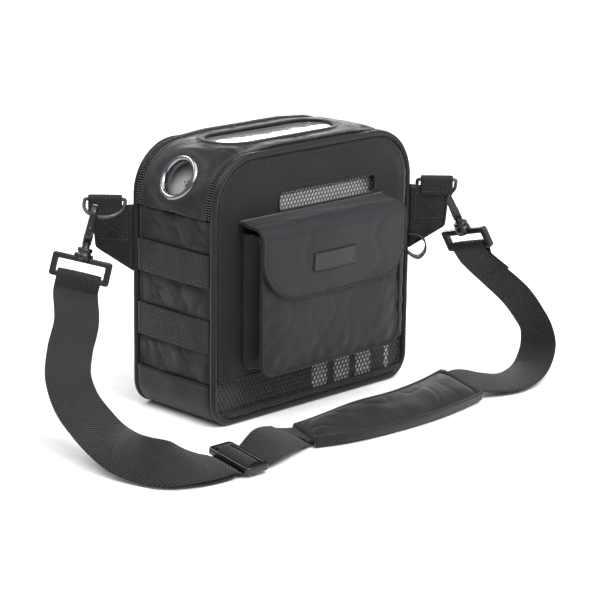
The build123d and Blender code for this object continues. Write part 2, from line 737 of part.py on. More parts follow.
with BuildPart() as tri_glide:
    plane = Plane(origin=(-172, -137, 9.5), x_dir=(0.04, 0.985, 0.135), z_dir=(0, -0.135, 0.99))
    with BuildSketch(plane.offset(-2.5)) as buckle:
        RectangleRounded(50, 25, 4)
        with Locations((0, 5.8), (0, -5.8)):
            RectangleRounded(40, 6, 1.5, mode=Mode.SUBTRACT)
    extrude(amount=5)
keep(tri_glide, "tri_glide")

# ---- the concentrator: shells ------------------------------------------------------------------

DEVICE_CORNER = Vector(-(DEVICE_HALF_WIDTH - DEVICE_TOP_RADIUS), 0, DEVICE_Z[1] - DEVICE_TOP_RADIUS)
VENT_Z = (14.0, 38.0)
VENT_BARS_X = (0.0, 24.0, 46.0)
VENT_BAR_WIDTH = 15.0


def outlet_plane(distance):
    """Plane across the outlet's axis, at a distance from the shell corner's centre."""
    return Plane(origin=DEVICE_CORNER + EYELET_AXIS * distance, x_dir=(0, 1, 0), z_dir=EYELET_AXIS)


def device_shell(face_y, seam_y):
    """Half of the housing: a tray closed at face_y and open at seam_y."""
    inwards = 1 if seam_y > face_y else -1
    high, low = (seam_y, face_y) if inwards > 0 else (face_y, seam_y)
    floor_y = face_y + inwards * SHELL_WALL
    inner_high, inner_low = (seam_y, floor_y) if inwards > 0 else (floor_y, seam_y)
    with BuildPart() as tray:
        extrude(device_outline(high, 0), amount=high - low)
        extrude(device_outline(inner_high, SHELL_WALL), amount=inner_high - inner_low, mode=Mode.SUBTRACT)
        with BuildSketch(outlet_plane(25)) as port:
            Circle(5.1)
        extrude(amount=20, mode=Mode.SUBTRACT)
    return tray.part


with BuildPart() as device_front_shell:
    add(device_shell(-DEVICE_Y, -0.05))
    with BuildSketch(upright(-DEVICE_Y + SHELL_WALL + 1)) as vents:
        with Locations((4, sum(VENT_Z) / 2)):
            RectangleRounded(150, VENT_Z[1] - VENT_Z[0], 3)
        for x in VENT_BARS_X:
            with Locations((x, sum(VENT_Z) / 2)):
                Rectangle(VENT_BAR_WIDTH, VENT_Z[1] - VENT_Z[0], mode=Mode.SUBTRACT)
    extrude(amount=SHELL_WALL + 2, mode=Mode.SUBTRACT)
keep(device_front_shell, "device_front_shell")

FILTER_X = (-60.0, 20.0)
FILTER_Z = (90.0, 150.0)

with BuildPart() as device_rear_shell:
    add(device_shell(DEVICE_Y, 0.05))
    with BuildSketch(upright(DEVICE_Y + 1)) as slots:
        with Locations((sum(FILTER_X) / 2, sum(FILTER_Z) / 2)):
            with GridLocations(0, 8, 1, 7):
                SlotOverall(72, 4)
    extrude(amount=SHELL_WALL + 2, mode=Mode.SUBTRACT)
keep(device_rear_shell, "device_rear_shell")

with BuildPart() as intake_filter:
    extrude(window(DEVICE_Y - SHELL_WALL - 0.1, (FILTER_X[0] - 3, FILTER_X[1] + 3), (FILTER_Z[0] - 3, FILTER_Z[1] + 3), 3),
            amount=4)
keep(intake_filter, "intake_filter")

# ---- the concentrator: controls and outlet ------------------------------------------------------

PANEL_TOP = DEVICE_Z[1] + 3.2
BUTTONS = {"power_button": -48.0, "flow_down_button": 22.0, "flow_up_button": 42.0}
BUTTON_RADIUS = 6.5

with BuildPart() as control_panel:
    with BuildSketch(Plane.XY.offset(DEVICE_Z[1] + 0.05)) as plate:
        with Locations((-4, 0)):
            SlotOverall(126, 38)
        for x in BUTTONS.values():
            with Locations((x, 0)):
                Circle(BUTTON_RADIUS + 0.4, mode=Mode.SUBTRACT)
    extrude(amount=PANEL_TOP - DEVICE_Z[1] - 0.05)
    with BuildSketch(Plane.XY.offset(PANEL_TOP)) as lens:
        with Locations((-13, 0)):
            RectangleRounded(40, 22, 3)
    extrude(amount=0.6)
keep(control_panel, "control_panel")


def push_button(x):
    """Round button that stands in a hole of the control panel."""
    with BuildPart() as button:
        with BuildSketch(Plane.XY.offset(DEVICE_Z[1] + 1.3)) as disc:
            with Locations((x, 0)):
                Circle(BUTTON_RADIUS)
        extrude(amount=3.0)
        fillet(button.edges().group_by(Axis.Z)[-1], 0.8)
    return button.part


with BuildPart() as power_button:
    add(push_button(BUTTONS["power_button"]))
keep(power_button, "power_button")

with BuildPart() as flow_down_button:
    add(push_button(BUTTONS["flow_down_button"]))
keep(flow_down_button, "flow_down_button")

with BuildPart() as flow_up_button:
    add(push_button(BUTTONS["flow_up_button"]))
keep(flow_up_button, "flow_up_button")

OUTLET_RADIUS = 2.6
OUTLET_LENGTH = 6.0

with BuildPart() as outlet_nozzle:
    with BuildSketch(outlet_plane(29.5)) as flange:
        Circle(8)
    extrude(amount=2.6)
    with BuildSketch(outlet_plane(32.1)) as neck:
        Circle(4.9)
    extrude(amount=DEVICE_TOP_RADIUS - 32.1)
    with BuildSketch(outlet_plane(DEVICE_TOP_RADIUS)) as spigot:
        Circle(OUTLET_RADIUS)
    extrude(amount=OUTLET_LENGTH)
    with BuildSketch(outlet_plane(30)) as bore:
        Circle(1.2)
    extrude(amount=20, mode=Mode.SUBTRACT)
keep(outlet_nozzle, "outlet_nozzle")

# ---- the concentrator: inside ---------------------------------------------------------------------

with BuildPart() as battery_pack:
    with BuildSketch(Plane.XY.offset(42)) as cells:
        with Locations((-6, 2)):
            RectangleRounded(150, 56, 6)
    extrude(amount=36)
keep(battery_pack, "battery_pack")

COMPRESSOR_X = 18.0
COMPRESSOR_Z = 128.0
SHAFT_RADIUS = 4.0

with BuildPart() as compressor:
    with BuildSketch(upright(20)) as motor:
        with Locations((COMPRESSOR_X, COMPRESSOR_Z)):
            Circle(27)
    extrude(amount=44)
    with BuildSketch(Plane(origin=(COMPRESSOR_X, -2, COMPRESSOR_Z), z_dir=(0, 0, 1))) as barrels:
        Circle(15)
    extrude(amount=46)
    extrude(barrels.sketch, amount=-44)
    with BuildSketch(upright(21)) as bearing:
        with Locations((COMPRESSOR_X, COMPRESSOR_Z)):
            Circle(SHAFT_RADIUS + 0.05)
    extrude(amount=60, mode=Mode.SUBTRACT)
keep(compressor, "compressor")

with BuildPart() as compressor_shaft:
    with BuildSketch(upright(18)) as journal:
        with Locations((COMPRESSOR_X, COMPRESSOR_Z)):
            Circle(SHAFT_RADIUS)
    extrude(amount=48)
    with BuildSketch(upright(-26)) as flywheel:
        with Locations((COMPRESSOR_X, COMPRESSOR_Z)):
            Circle(17)
    extrude(amount=4)
keep(compressor_shaft, "compressor_shaft")

with BuildPart() as sieve_columns:
    with BuildSketch(Plane.XY.offset(84)) as tubes:
        with Locations((-80, -20), (-80, 20)):
            Circle(18)
    extrude(amount=98)
keep(sieve_columns, "sieve_columns")

with BuildPart() as product_tank:
    with BuildSketch(Plane.XY.offset(84)) as tank:
        with Locations((-42, -20)):
            Circle(14)
    extrude(amount=98)
keep(product_tank, "product_tank")

with BuildPart() as valve_manifold:
    with BuildSketch(Plane.XY.offset(182.1)) as block:
        with Locations((-62, 0)):
            RectangleRounded(70, 76, 5)
    extrude(amount=9)
keep(valve_manifold, "valve_manifold")

with BuildPart() as circuit_board:
    extrude(window(-39, (-20, 96), (90, 200), 3), amount=1.6)
keep(circuit_board, "circuit_board")

FAN_X = 74.0
FAN_Z = 128.0
FAN_REACH = 22.0

with BuildPart() as fan_housing:
    with BuildSketch(upright(36)) as shroud:
        with Locations((FAN_X, FAN_Z)):
            RectangleRounded(50, 50, 4)
            Circle(FAN_REACH + 0.8, mode=Mode.SUBTRACT)
    extrude(amount=15)
    with BuildSketch(upright(36)) as spider:
        with Locations((FAN_X, FAN_Z)):
            Circle(8)
            Rectangle(48, 3)
            Rectangle(3, 48)
    extrude(amount=2)
    with BuildSketch(upright(34.1)) as stub:
        with Locations((FAN_X, FAN_Z)):
            Circle(1.5)
    extrude(amount=10)
keep(fan_housing, "fan_housing")

with BuildPart() as fan_rotor:
    with BuildSketch(upright(33.6)) as hub:
        with Locations((FAN_X, FAN_Z)):
            Circle(8)
            with PolarLocations(FAN_REACH / 2 + 3, 7):
                Rectangle(FAN_REACH - 8, 3.5)
            Circle(1.55, mode=Mode.SUBTRACT)
    extrude(amount=11)
keep(fan_rotor, "fan_rotor")

with BuildPart() as shell_screws:
    with BuildSketch(upright(DEVICE_Y + 1.4)) as heads:
        for x, z in ((-92, 30), (92, 30), (-92, 178), (92, 178)):
            with Locations((x, z)):
                Circle(3.2)
    extrude(amount=1.3)
keep(shell_screws, "shell_screws")
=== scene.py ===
import json
import math
import random

import bpy
import numpy as np
from mathutils import Matrix, Vector


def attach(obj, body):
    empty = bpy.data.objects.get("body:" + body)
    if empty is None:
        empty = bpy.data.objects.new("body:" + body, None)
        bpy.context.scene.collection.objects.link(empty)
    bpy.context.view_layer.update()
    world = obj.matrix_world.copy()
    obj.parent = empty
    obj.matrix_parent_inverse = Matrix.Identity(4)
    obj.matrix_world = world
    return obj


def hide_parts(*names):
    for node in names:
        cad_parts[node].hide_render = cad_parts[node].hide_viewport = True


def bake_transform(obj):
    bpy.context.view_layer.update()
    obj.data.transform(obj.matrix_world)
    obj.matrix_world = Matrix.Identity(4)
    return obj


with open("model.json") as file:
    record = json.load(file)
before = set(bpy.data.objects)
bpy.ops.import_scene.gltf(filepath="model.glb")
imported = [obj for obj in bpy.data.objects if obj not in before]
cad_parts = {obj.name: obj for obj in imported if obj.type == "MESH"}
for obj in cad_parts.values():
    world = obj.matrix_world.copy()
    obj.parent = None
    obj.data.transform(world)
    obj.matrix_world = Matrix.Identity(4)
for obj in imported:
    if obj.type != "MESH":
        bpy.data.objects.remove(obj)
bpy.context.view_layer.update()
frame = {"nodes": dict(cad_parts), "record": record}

# Lengths below are in millimetres; MM turns them to metres where a mesh is made.
MM = 0.001

# ---- sizes of the bag, as packed ---------------------------------------------------------------

SEAM_X = 118.5
SEAM_LOW, SEAM_HIGH = 3.0, 232.0
TOP_R, BOTTOM_R = 43.5, 20.0
PIPING_Y = 49.0
FOLD_Z = 181.0
SLOT = (-45.0, 72.0, 180.5, 196.0)
LOWER_MESH = (11.5, 40.5)
PANE = (-79.0, 65.0, 24.0)
POCKET = (-90.0, 80.0, 46.0, 168.0)
POCKET_Y = -78.0
FLAP_X = (-92.0, 82.0)
WEB_WIDTH = 38.0
LEFT, RIGHT = -1, 1


# ---- mesh helpers ------------------------------------------------------------------------------


def piece_from(name, points, faces, uvs=None, smooth=True):
    """Mesh piece from points in millimetres; uvs are in millimetres too."""
    mesh = bpy.data.meshes.new(name)
    mesh.from_pydata([tuple(p) for p in np.asarray(points, float) * MM], [], [tuple(f) for f in faces])
    if uvs is not None:
        layer = mesh.uv_layers.new(name="cloth")
        index = np.zeros(len(mesh.loops), np.int32)
        mesh.loops.foreach_get("vertex_index", index)
        layer.data.foreach_set("uv", (np.asarray(uvs, float)[index] * MM).ravel())
    mesh.polygons.foreach_set("use_smooth", [smooth] * len(mesh.polygons))
    mesh.validate()
    piece = bpy.data.objects.new(name, mesh)
    bpy.context.scene.collection.objects.link(piece)
    return piece


def finish(piece, body, material, nodes=(), solid=0.0, side=-1.0, levels=0):
    """Gives a piece its thickness, material, body and the CAD nodes it stands for."""
    piece.data.materials.clear()
    piece.data.materials.append(material)
    if solid:
        shell = piece.modifiers.new("thickness", "SOLIDIFY")
        shell.thickness = solid * MM
        shell.offset = side
    if levels:
        smoother = piece.modifiers.new("smooth", "SUBSURF")
        smoother.levels = smoother.render_levels = levels
    if body:
        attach(piece, body)
    if nodes:
        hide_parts(*nodes)
    return piece


def swell(u, v, size, seed, count=7):
    """Smooth random rise and fall of about -1 to 1, with bumps about size across."""
    draw = random.Random(seed)
    total = 0.0
    for _ in range(count):
        turn = draw.uniform(0, 2 * math.pi)
        pitch = 2 * math.pi / size * draw.uniform(0.55, 1.5)
        phase = draw.uniform(0, 2 * math.pi)
        total = total + np.sin(pitch * (u * math.cos(turn) + v * math.sin(turn)) + phase)
    return total / count ** 0.5


def creases(u, v, size, seed, sharp=0.22):
    """Thin random crease lines from 0 to 1, about size apart."""
    return np.exp(-(swell(u, v, size, seed) / sharp) ** 2)


def ease(value):
    """Smooth step from 0 to 1."""
    t = np.clip(value, 0, 1)
    return t * t * (3 - 2 * t)


def arch_gap(x, z, inset=0.0):
    """Signed distance outside the bag's outline, drawn in by inset."""
    middle, half_high = (SEAM_LOW + SEAM_HIGH) / 2, (SEAM_HIGH - SEAM_LOW) / 2 - inset
    radius = np.where(z > middle, TOP_R, BOTTOM_R) - inset
    across = np.abs(x) - (SEAM_X - inset) + radius
    up = np.abs(z - middle) - half_high + radius
    outside = np.hypot(np.maximum(across, 0), np.maximum(up, 0))
    return np.minimum(np.maximum(across, up), 0) + outside - radius


def box_gap(x, z, box, radius):
    """Signed distance outside a rectangle (x low, x high, z low, z high) with rounded corners."""
    across = np.abs(x - (box[0] + box[1]) / 2) - (box[1] - box[0]) / 2 + radius
    up = np.abs(z - (box[2] + box[3]) / 2) - (box[3] - box[2]) / 2 + radius
    outside = np.hypot(np.maximum(across, 0), np.maximum(up, 0))
    return np.minimum(np.maximum(across, up), 0) + outside - radius


def cut_sheet(name, u_span, v_span, step, gap, place):
    """Sheet cut along the zero line of gap(u, v), with its points laid by place(u, v)."""
    columns = max(2, round((u_span[1] - u_span[0]) / step)) + 1
    rows = max(2, round((v_span[1] - v_span[0]) / step)) + 1
    u, v = np.meshgrid(np.linspace(*u_span, columns), np.linspace(*v_span, rows), indexing="ij")
    u, v = u.ravel(), v.ravel()
    cell = max((u_span[1] - u_span[0]) / (columns - 1), (v_span[1] - v_span[0]) / (rows - 1))
    near = 0.72 * cell
    start = gap(u, v)
    snap = np.abs(start) <= near
    for _ in range(3):
        here = gap(u, v)
        slope_u = (gap(u + 0.05, v) - gap(u - 0.05, v)) / 0.1
        slope_v = (gap(u, v + 0.05) - gap(u, v - 0.05)) / 0.1
        steep = np.maximum(slope_u ** 2 + slope_v ** 2, 0.05)
        u = np.where(snap, u - here * slope_u / steep, u)
        v = np.where(snap, v - here * slope_v / steep, v)
    kept = start <= near
    number = np.cumsum(kept) - 1
    faces = []
    for i in range(columns - 1):
        for j in range(rows - 1):
            corners = (i * rows + j, (i + 1) * rows + j, (i + 1) * rows + j + 1, i * rows + j + 1)
            if all(kept[c] for c in corners) and sum(bool(snap[c]) for c in corners) < 4:
                faces.append([int(number[c]) for c in corners])
            elif all(kept[c] for c in corners):
                middle_u = sum(u[c] for c in corners) / 4
                middle_v = sum(v[c] for c in corners) / 4
                if gap(np.array([middle_u]), np.array([middle_v]))[0] < -0.15 * cell:
                    faces.append([int(number[c]) for c in corners])
    u, v = u[kept], v[kept]
    return piece_from(name, place(u, v), faces, np.stack([u, v], 1))


def face_out(piece, outwards):
    """Turns a sheet's faces so that most look along the given direction."""
    total = sum((p.normal.dot(outwards) * p.area for p in piece.data.polygons), 0.0)
    if total < 0:
        piece.data.flip_normals()
    return piece


def hoop_table():
    """Arc length, place and outward normal along the seam outline, clockwise from the left zip ends."""
    rows = []

    def line(start, end, normal):
        length = math.dist(start, end)
        for k in range(int(length / 0.8) + 1):
            t = k / (int(length / 0.8) + 1)
            rows.append((start[0] + (end[0] - start[0]) * t, start[1] + (end[1] - start[1]) * t, *normal))

    def corner(centre, radius, first, last):
        count = int(abs(last - first) / 1.2)
        for k in range(count):
            turn = math.radians(first + (last - first) * k / count)
            way = (math.cos(turn), math.sin(turn))
            rows.append((centre[0] + radius * way[0], centre[1] + radius * way[1], *way))

    top, low = SEAM_HIGH - TOP_R, SEAM_LOW + BOTTOM_R
    inner_top, inner_low = SEAM_X - TOP_R, SEAM_X - BOTTOM_R
    line((-SEAM_X, FOLD_Z), (-SEAM_X, top), (-1, 0))
    corner((-inner_top, top), TOP_R, 180, 90)
    line((-inner_top, SEAM_HIGH), (inner_top, SEAM_HIGH), (0, 1))
    corner((inner_top, top), TOP_R, 90, 0)
    line((SEAM_X, top), (SEAM_X, low), (1, 0))
    corner((inner_low, low), BOTTOM_R, 0, -90)
    line((inner_low, SEAM_LOW), (-inner_low, SEAM_LOW), (0, -1))
    corner((-inner_low, low), BOTTOM_R, -90, -180)
    line((-SEAM_X, low), (-SEAM_X, FOLD_Z), (-1, 0))
    rows.append((-SEAM_X, FOLD_Z, -1, 0))
    table = np.array(rows)
    along = np.concatenate([[0], np.cumsum(np.hypot(np.diff(table[:, 0]), np.diff(table[:, 1])))])
    return along, table


HOOP_S, HOOP = hoop_table()
HOOP_LENGTH = float(HOOP_S[-1])
TOP_RUN = 2 * (SEAM_HIGH - TOP_R - FOLD_Z) + math.pi * TOP_R + 2 * (SEAM_X - TOP_R)
EYELET_S = SEAM_HIGH - TOP_R - FOLD_Z + TOP_R * math.radians(30)


def hoop(s, y, out):
    """Points at arc length s along the outline, at depth y, moved out by out."""
    s = np.mod(s, HOOP_LENGTH)
    x, z, nx, nz = (np.interp(s, HOOP_S, HOOP[:, k]) for k in range(4))
    return np.stack([x + nx * out, np.broadcast_to(y, x.shape) + 0 * x, z + nz * out], 1)


def hoop_s_at_top(x):
    """Arc length over the flat top at a given x."""
    return SEAM_HIGH - TOP_R - FOLD_Z + math.pi / 2 * TOP_R + x + SEAM_X - TOP_R


def hoop_path(start, end, y, out, step=1.5):
    """Open polyline along the outline."""
    return hoop(np.linspace(start, end, max(3, int(abs(end - start) / step))), y, out)


def rounded(points, radii, step=0.6, closed=False):
    """Polyline through corner points with each corner rounded to its radius."""
    points = [Vector(p) for p in points]
    result = []
    last = len(points) - 1
    for k, corner in enumerate(points):
        if not closed and k in (0, last) or radii[k] <= 0:
            result.append(corner)
            continue
        before = (points[k - 1] - corner).normalized()
        after = (points[(k + 1) % len(points)] - corner).normalized()
        half = before.angle(after) / 2
        reach = radii[k] / math.tan(half)
        centre = corner + (before + after).normalized() * (radii[k] / math.sin(half))
        first, final = corner + before * reach - centre, corner + after * reach - centre
        sweep_angle = first.angle(final)
        count = max(3, int(sweep_angle * radii[k] / step))
        for j in range(count + 1):
            t = j / count
            weight = math.sin(sweep_angle)
            way = (first * math.sin((1 - t) * sweep_angle) + final * math.sin(t * sweep_angle)) / weight
            result.append(centre + way)
    return result


def evened(points, step, closed=False):
    """Points set evenly along a polyline."""
    line = np.array([tuple(p) for p in points], float)
    if closed:
        line = np.vstack([line, line[:1]])
    along = np.concatenate([[0], np.cumsum(np.linalg.norm(np.diff(line, axis=0), axis=1))])
    count = max(3, round(along[-1] / step))
    wanted = np.linspace(0, along[-1], count + 1)[: count if closed else count + 1]
    return np.stack([np.interp(wanted, along, line[:, k]) for k in range(3)], 1)


def curved(stations, step):
    """Smooth route through stations; each is a point followed by any values that go with it."""
    data = np.array(stations, float)
    spans = np.linalg.norm(np.diff(data[:, :3], axis=0), axis=1)
    knots = np.concatenate([[0], np.cumsum(np.sqrt(spans))])
    padded_data = np.vstack([2 * data[0] - data[1], data, 2 * data[-1] - data[-2]])
    padded_knots = np.concatenate([[2 * knots[0] - knots[1]], knots, [2 * knots[-1] - knots[-2]]])
    result = []
    for k in range(len(data) - 1):
        p0, p1, p2, p3 = padded_data[k:k + 4]
        t0, t1, t2, t3 = padded_knots[k:k + 4]
        count = max(2, int(spans[k] / step) + 1)
        for t in np.linspace(t1, t2, count, endpoint=False):
            a1 = (t1 - t) / (t1 - t0) * p0 + (t - t0) / (t1 - t0) * p1
            a2 = (t2 - t) / (t2 - t1) * p1 + (t - t1) / (t2 - t1) * p2
            a3 = (t3 - t) / (t3 - t2) * p2 + (t - t2) / (t3 - t2) * p3
            b1 = (t2 - t) / (t2 - t0) * a1 + (t - t0) / (t2 - t0) * a2
            b2 = (t3 - t) / (t3 - t1) * a2 + (t - t1) / (t3 - t1) * a3
            result.append((t2 - t) / (t2 - t1) * b1 + (t - t1) / (t2 - t1) * b2)
    result.append(data[-1])
    return np.array(result)


def swept(name, centres, wides, profile, closed=False, scales=None, uv_across=None):
    """Solid swept along centres; profile points lie along each width direction and its normal."""
    centres = np.asarray([tuple(c) for c in centres], float)
    wides = np.asarray([tuple(w) for w in wides], float)
    count, around = len(centres), len(profile)
    if closed:
        ahead = np.roll(centres, -1, 0) - np.roll(centres, 1, 0)
    else:
        ahead = np.gradient(centres, axis=0)
    along = ahead / np.linalg.norm(ahead, axis=1, keepdims=True)
    wides = wides - along * np.sum(wides * along, 1, keepdims=True)
    wides /= np.linalg.norm(wides, axis=1, keepdims=True)
    normals = np.cross(along, wides)
    section = np.asarray(profile, float)
    sizes = np.ones((count, 2))
    if scales is not None:
        sizes = np.asarray(scales, float).reshape(count, -1) * sizes
    points = (centres[:, None, :]
              + wides[:, None, :] * (section[None, :, 0:1] * sizes[:, None, 0:1])
              + normals[:, None, :] * (section[None, :, 1:2] * sizes[:, None, 1:2])).reshape(-1, 3)
    run = np.concatenate([[0], np.cumsum(np.linalg.norm(np.diff(centres, axis=0), axis=1))])
    girth = np.concatenate([[0], np.cumsum(np.linalg.norm(np.diff(section, axis=0), axis=1))])
    v = section[:, 0] if uv_across else girth
    uvs = np.stack([np.repeat(run, around), np.tile(v, count)], 1)
    faces = []
    for i in range(count if closed else count - 1):
        for j in range(around):
            a, b = i * around + j, i * around + (j + 1) % around
            c, d = ((i + 1) % count) * around + (j + 1) % around, ((i + 1) % count) * around + j
            faces.append((a, d, c, b))
    if not closed:
        faces.append(tuple(range(around)))
        faces.append(tuple(range((count - 1) * around, count * around))[::-1])
    piece = piece_from(name, points, faces, uvs)
    outward(piece)
    return piece


def outward(piece):
    """Turns a closed piece's faces outwards, from its signed volume."""
    volume = 0.0
    points = piece.data.vertices
    for face in piece.data.polygons:
        first = points[face.vertices[0]].co
        for k in range(1, len(face.vertices) - 1):
            volume += first.dot(points[face.vertices[k]].co.cross(points[face.vertices[k + 1]].co))
    if volume < 0:
        piece.data.flip_normals()


def ring_profile(radius, sides=12, flat=1.0):
    """Round or oval section for a cord or bar."""
    return [(radius * math.cos(2 * math.pi * k / sides), radius * flat * math.sin(2 * math.pi * k / sides))
            for k in range(sides)]


def bar_profile(half_wide, half_high, corner=0.8):
    """Section of a flat bar with rounded corners."""
    section = []
    for k in range(4):
        centre = ((half_wide - corner) * (1 if k in (0, 3) else -1),
                  (half_high - corner) * (1 if k < 2 else -1))
        for step in (0, 1, 2, 3):
            turn = math.pi / 2 * (k + step / 3)
            section.append((centre[0] + corner * math.cos(turn), centre[1] + corner * math.sin(turn)))
    return section


def web_profile(width, thickness, crown=0.0):
    """Section of flat webbing with round selvedges and an optional crown across it."""
    half, thin = width / 2, thickness / 2
    xs = [-half, -half * 0.97, -half * 0.86, -half * 0.55, -half * 0.2, half * 0.2, half * 0.55,
          half * 0.86, half * 0.97, half]
    fade = [0.45, 0.9, 1, 1, 1, 1, 1, 1, 0.9, 0.45]
    rise = [crown * (1 - (x / half) ** 2) for x in xs]
    upper = [(x, r + thin * f) for x, f, r in zip(xs, fade, rise)]
    lower = [(x, r - thin * f) for x, f, r in zip(xs, fade, rise)]
    return upper + lower[::-1]


def turned(name, outline, origin, axis, segments=56):
    """Solid of revolution; outline is a closed list of (radius, height along the axis)."""
    axis = Vector(axis).normalized()
    side = axis.orthogonal().normalized()
    other = axis.cross(side)
    points, faces = [], []
    for k in range(segments):
        turn = 2 * math.pi * k / segments
        way = side * math.cos(turn) + other * math.sin(turn)
        points += [Vector(origin) + way * r + axis * h for r, h in outline]
    n = len(outline)
    for k in range(segments):
        for j in range(n):
            a, b = k * n + j, k * n + (j + 1) % n
            c, d = ((k + 1) % segments) * n + (j + 1) % n, ((k + 1) % segments) * n + j
            faces.append((a, b, c, d))
    piece = piece_from(name, [tuple(p) for p in points], faces)
    outward(piece)
    return piece


def plate(name, loops, origin, x_dir, normal, thickness, bevel):
    """Flat plate with softened edges; loops are its outline, then its holes, in the plate's plane."""
    curve = bpy.data.curves.new(name, "CURVE")
    curve.dimensions = "2D"
    curve.fill_mode = "BOTH"
    curve.extrude = (thickness / 2 - bevel) * MM
    curve.bevel_depth = bevel * MM
    curve.bevel_resolution = 2
    curve.offset = -bevel * MM
    for loop in loops:
        spline = curve.splines.new("POLY")
        spline.points.add(len(loop) - 1)
        for point, place in zip(spline.points, loop):
            point.co = (place[0] * MM, place[1] * MM, 0, 1)
        spline.use_cyclic_u = True
    source = bpy.data.objects.new(name + "_curve", curve)
    bpy.context.scene.collection.objects.link(source)
    bpy.context.view_layer.update()
    depsgraph = bpy.context.evaluated_depsgraph_get()
    mesh = bpy.data.meshes.new_from_object(source.evaluated_get(depsgraph))
    bpy.data.objects.remove(source)
    normal = Vector(normal).normalized()
    x_dir = Vector(x_dir)
    x_dir = (x_dir - normal * x_dir.dot(normal)).normalized()
    basis = Matrix((x_dir, normal.cross(x_dir), normal)).transposed().to_4x4()
    basis.translation = Vector(origin) * MM
    mesh.transform(basis)
    mesh.polygons.foreach_set("use_smooth", [True] * len(mesh.polygons))
    piece = bpy.data.objects.new(name, mesh)
    bpy.context.scene.collection.objects.link(piece)
    weld = piece.modifiers.new("weld", "WELD")
    weld.merge_threshold = 0.00002
    return flattened(piece)


def flattened(piece):
    """Applies a piece's modifiers."""
    bpy.context.view_layer.update()
    depsgraph = bpy.context.evaluated_depsgraph_get()
    mesh = bpy.data.meshes.new_from_object(piece.evaluated_get(depsgraph), depsgraph=depsgraph)
    piece.modifiers.clear()
    piece.data = mesh
    return piece


def joined(name, pieces):
    """One piece made of several."""
    points, faces, uvs, offset = [], [], [], 0
    for part in pieces:
        mesh = part.data
        layer = mesh.uv_layers.active
        points += [tuple(v.co / MM) for v in mesh.vertices]
        faces += [[offset + i for i in f.vertices] for f in mesh.polygons]
        if layer:
            uvs += [tuple(layer.data[i].uv / MM) for f in mesh.polygons for i in f.loop_indices]
        else:
            uvs += [(0.0, 0.0)] * len(mesh.loops)
        offset += len(mesh.vertices)
        bpy.data.objects.remove(part)
    whole = piece_from(name, points, faces)
    layer = whole.data.uv_layers.new(name="cloth")
    layer.data.foreach_set("uv", (np.array(uvs, float) * MM).ravel())
    return whole


# ---- materials ---------------------------------------------------------------------------------


def linear(code):
    """Linear colour from an sRGB hex value."""
    parts = [int(code[k:k + 2], 16) / 255 for k in (1, 3, 5)]
    return (*[c / 12.92 if c <= 0.04045 else ((c + 0.055) / 1.055) ** 2.4 for c in parts], 1.0)


def put(tree, kind, sockets=None, **settings):
    """Adds a node, sets its properties, and sets or links its sockets."""
    node = tree.nodes.new(kind)
    for key, value in settings.items():
        setattr(node, key, value)
    for key, value in (sockets or {}).items():
        if isinstance(value, bpy.types.NodeSocket):
            tree.links.new(value, node.inputs[key])
        else:
            node.inputs[key].default_value = value
    return node


def two_tone(tree, factor, dark, light):
    """Socket that runs from a dark colour to a light one."""
    shade = put(tree, "ShaderNodeMix", {"Factor": factor}, data_type="RGBA")
    for key, colour in (("A", dark), ("B", light)):
        [s for s in shade.inputs if s.name == key and s.type == "RGBA"][0].default_value = linear(colour)
    return [s for s in shade.outputs if s.type == "RGBA"][0]


def surface(name, **constants):
    """Material with one Principled shader whose constants sit on its own sockets."""
    material = bpy.data.materials.new(name)
    material.use_nodes = True
    tree = material.node_tree
    shader = tree.nodes["Principled BSDF"]
    for key, value in constants.items():
        shader.inputs[key.replace("_", " ")].default_value = value
    return material, tree, shader


def woven(name, dark, light, roughness, thread, relief, crinkle, sheen=0.25, cloth_uv=False, twill=False):
    """Woven cloth: crossed threads (thread mm apart), a slight colour change and soft crinkles."""
    material, tree, shader = surface(name, Sheen_Weight=sheen, Sheen_Roughness=0.45, Specular_IOR_Level=0.24)
    place = put(tree, "ShaderNodeTexCoord").outputs["UV" if cloth_uv else "Object"]
    warp = put(tree, "ShaderNodeTexWave",
               {"Vector": place, "Scale": 0.314 / (thread * MM), "Distortion": 0.4,
                                           "Detail": 1.0}, bands_direction="DIAGONAL" if twill else "X")
    weft = put(tree, "ShaderNodeTexWave",
               {"Vector": place, "Scale": 0.314 / (thread * MM), "Distortion": 0.4,
                                           "Detail": 1.0}, bands_direction="Y" if cloth_uv else "Z")
    weave = put(tree, "ShaderNodeMath", {0: warp.outputs["Fac"], 1: weft.outputs["Fac"]},
                operation="MULTIPLY")
    folds = put(tree, "ShaderNodeTexNoise", {"Vector": place, "Scale": 1 / (crinkle * MM), "Detail": 5.0,
                                             "Roughness": 0.55})
    mottle = put(tree, "ShaderNodeTexNoise", {"Vector": place, "Scale": 1 / (28 * MM), "Detail": 3.0})
    mixed = two_tone(tree, mottle.outputs["Fac"], dark, light)
    # The weave also scales the colour, darker in the gaps between threads and lighter on them: painted shade
    # and highlight of the threads.
    weave_shading = put(tree, "ShaderNodeMapRange", {"Value": weave.outputs[0], "To Min": 0.72, "To Max": 1.12})
    weave_shaded_colour = put(tree, "ShaderNodeVectorMath", {0: mixed, "Scale": weave_shading.outputs[0]}, operation="SCALE")
    tree.links.new(weave_shaded_colour.outputs[0], shader.inputs["Base Color"])
    rough = put(tree, "ShaderNodeMapRange", {"Value": folds.outputs["Fac"], "To Min": roughness - 0.08,
                                             "To Max": roughness + 0.1})
    tree.links.new(rough.outputs[0], shader.inputs["Roughness"])
    fine = put(tree, "ShaderNodeBump",
               {"Height": weave.outputs[0], "Strength": relief, "Distance": 0.25 * MM})
    coarse = put(tree, "ShaderNodeBump",
                 {"Height": folds.outputs["Fac"], "Strength": 0.35, "Distance": 1.2 * MM,
                                          "Normal": fine.outputs[0]})
    tree.links.new(coarse.outputs[0], shader.inputs["Normal"])
    return material


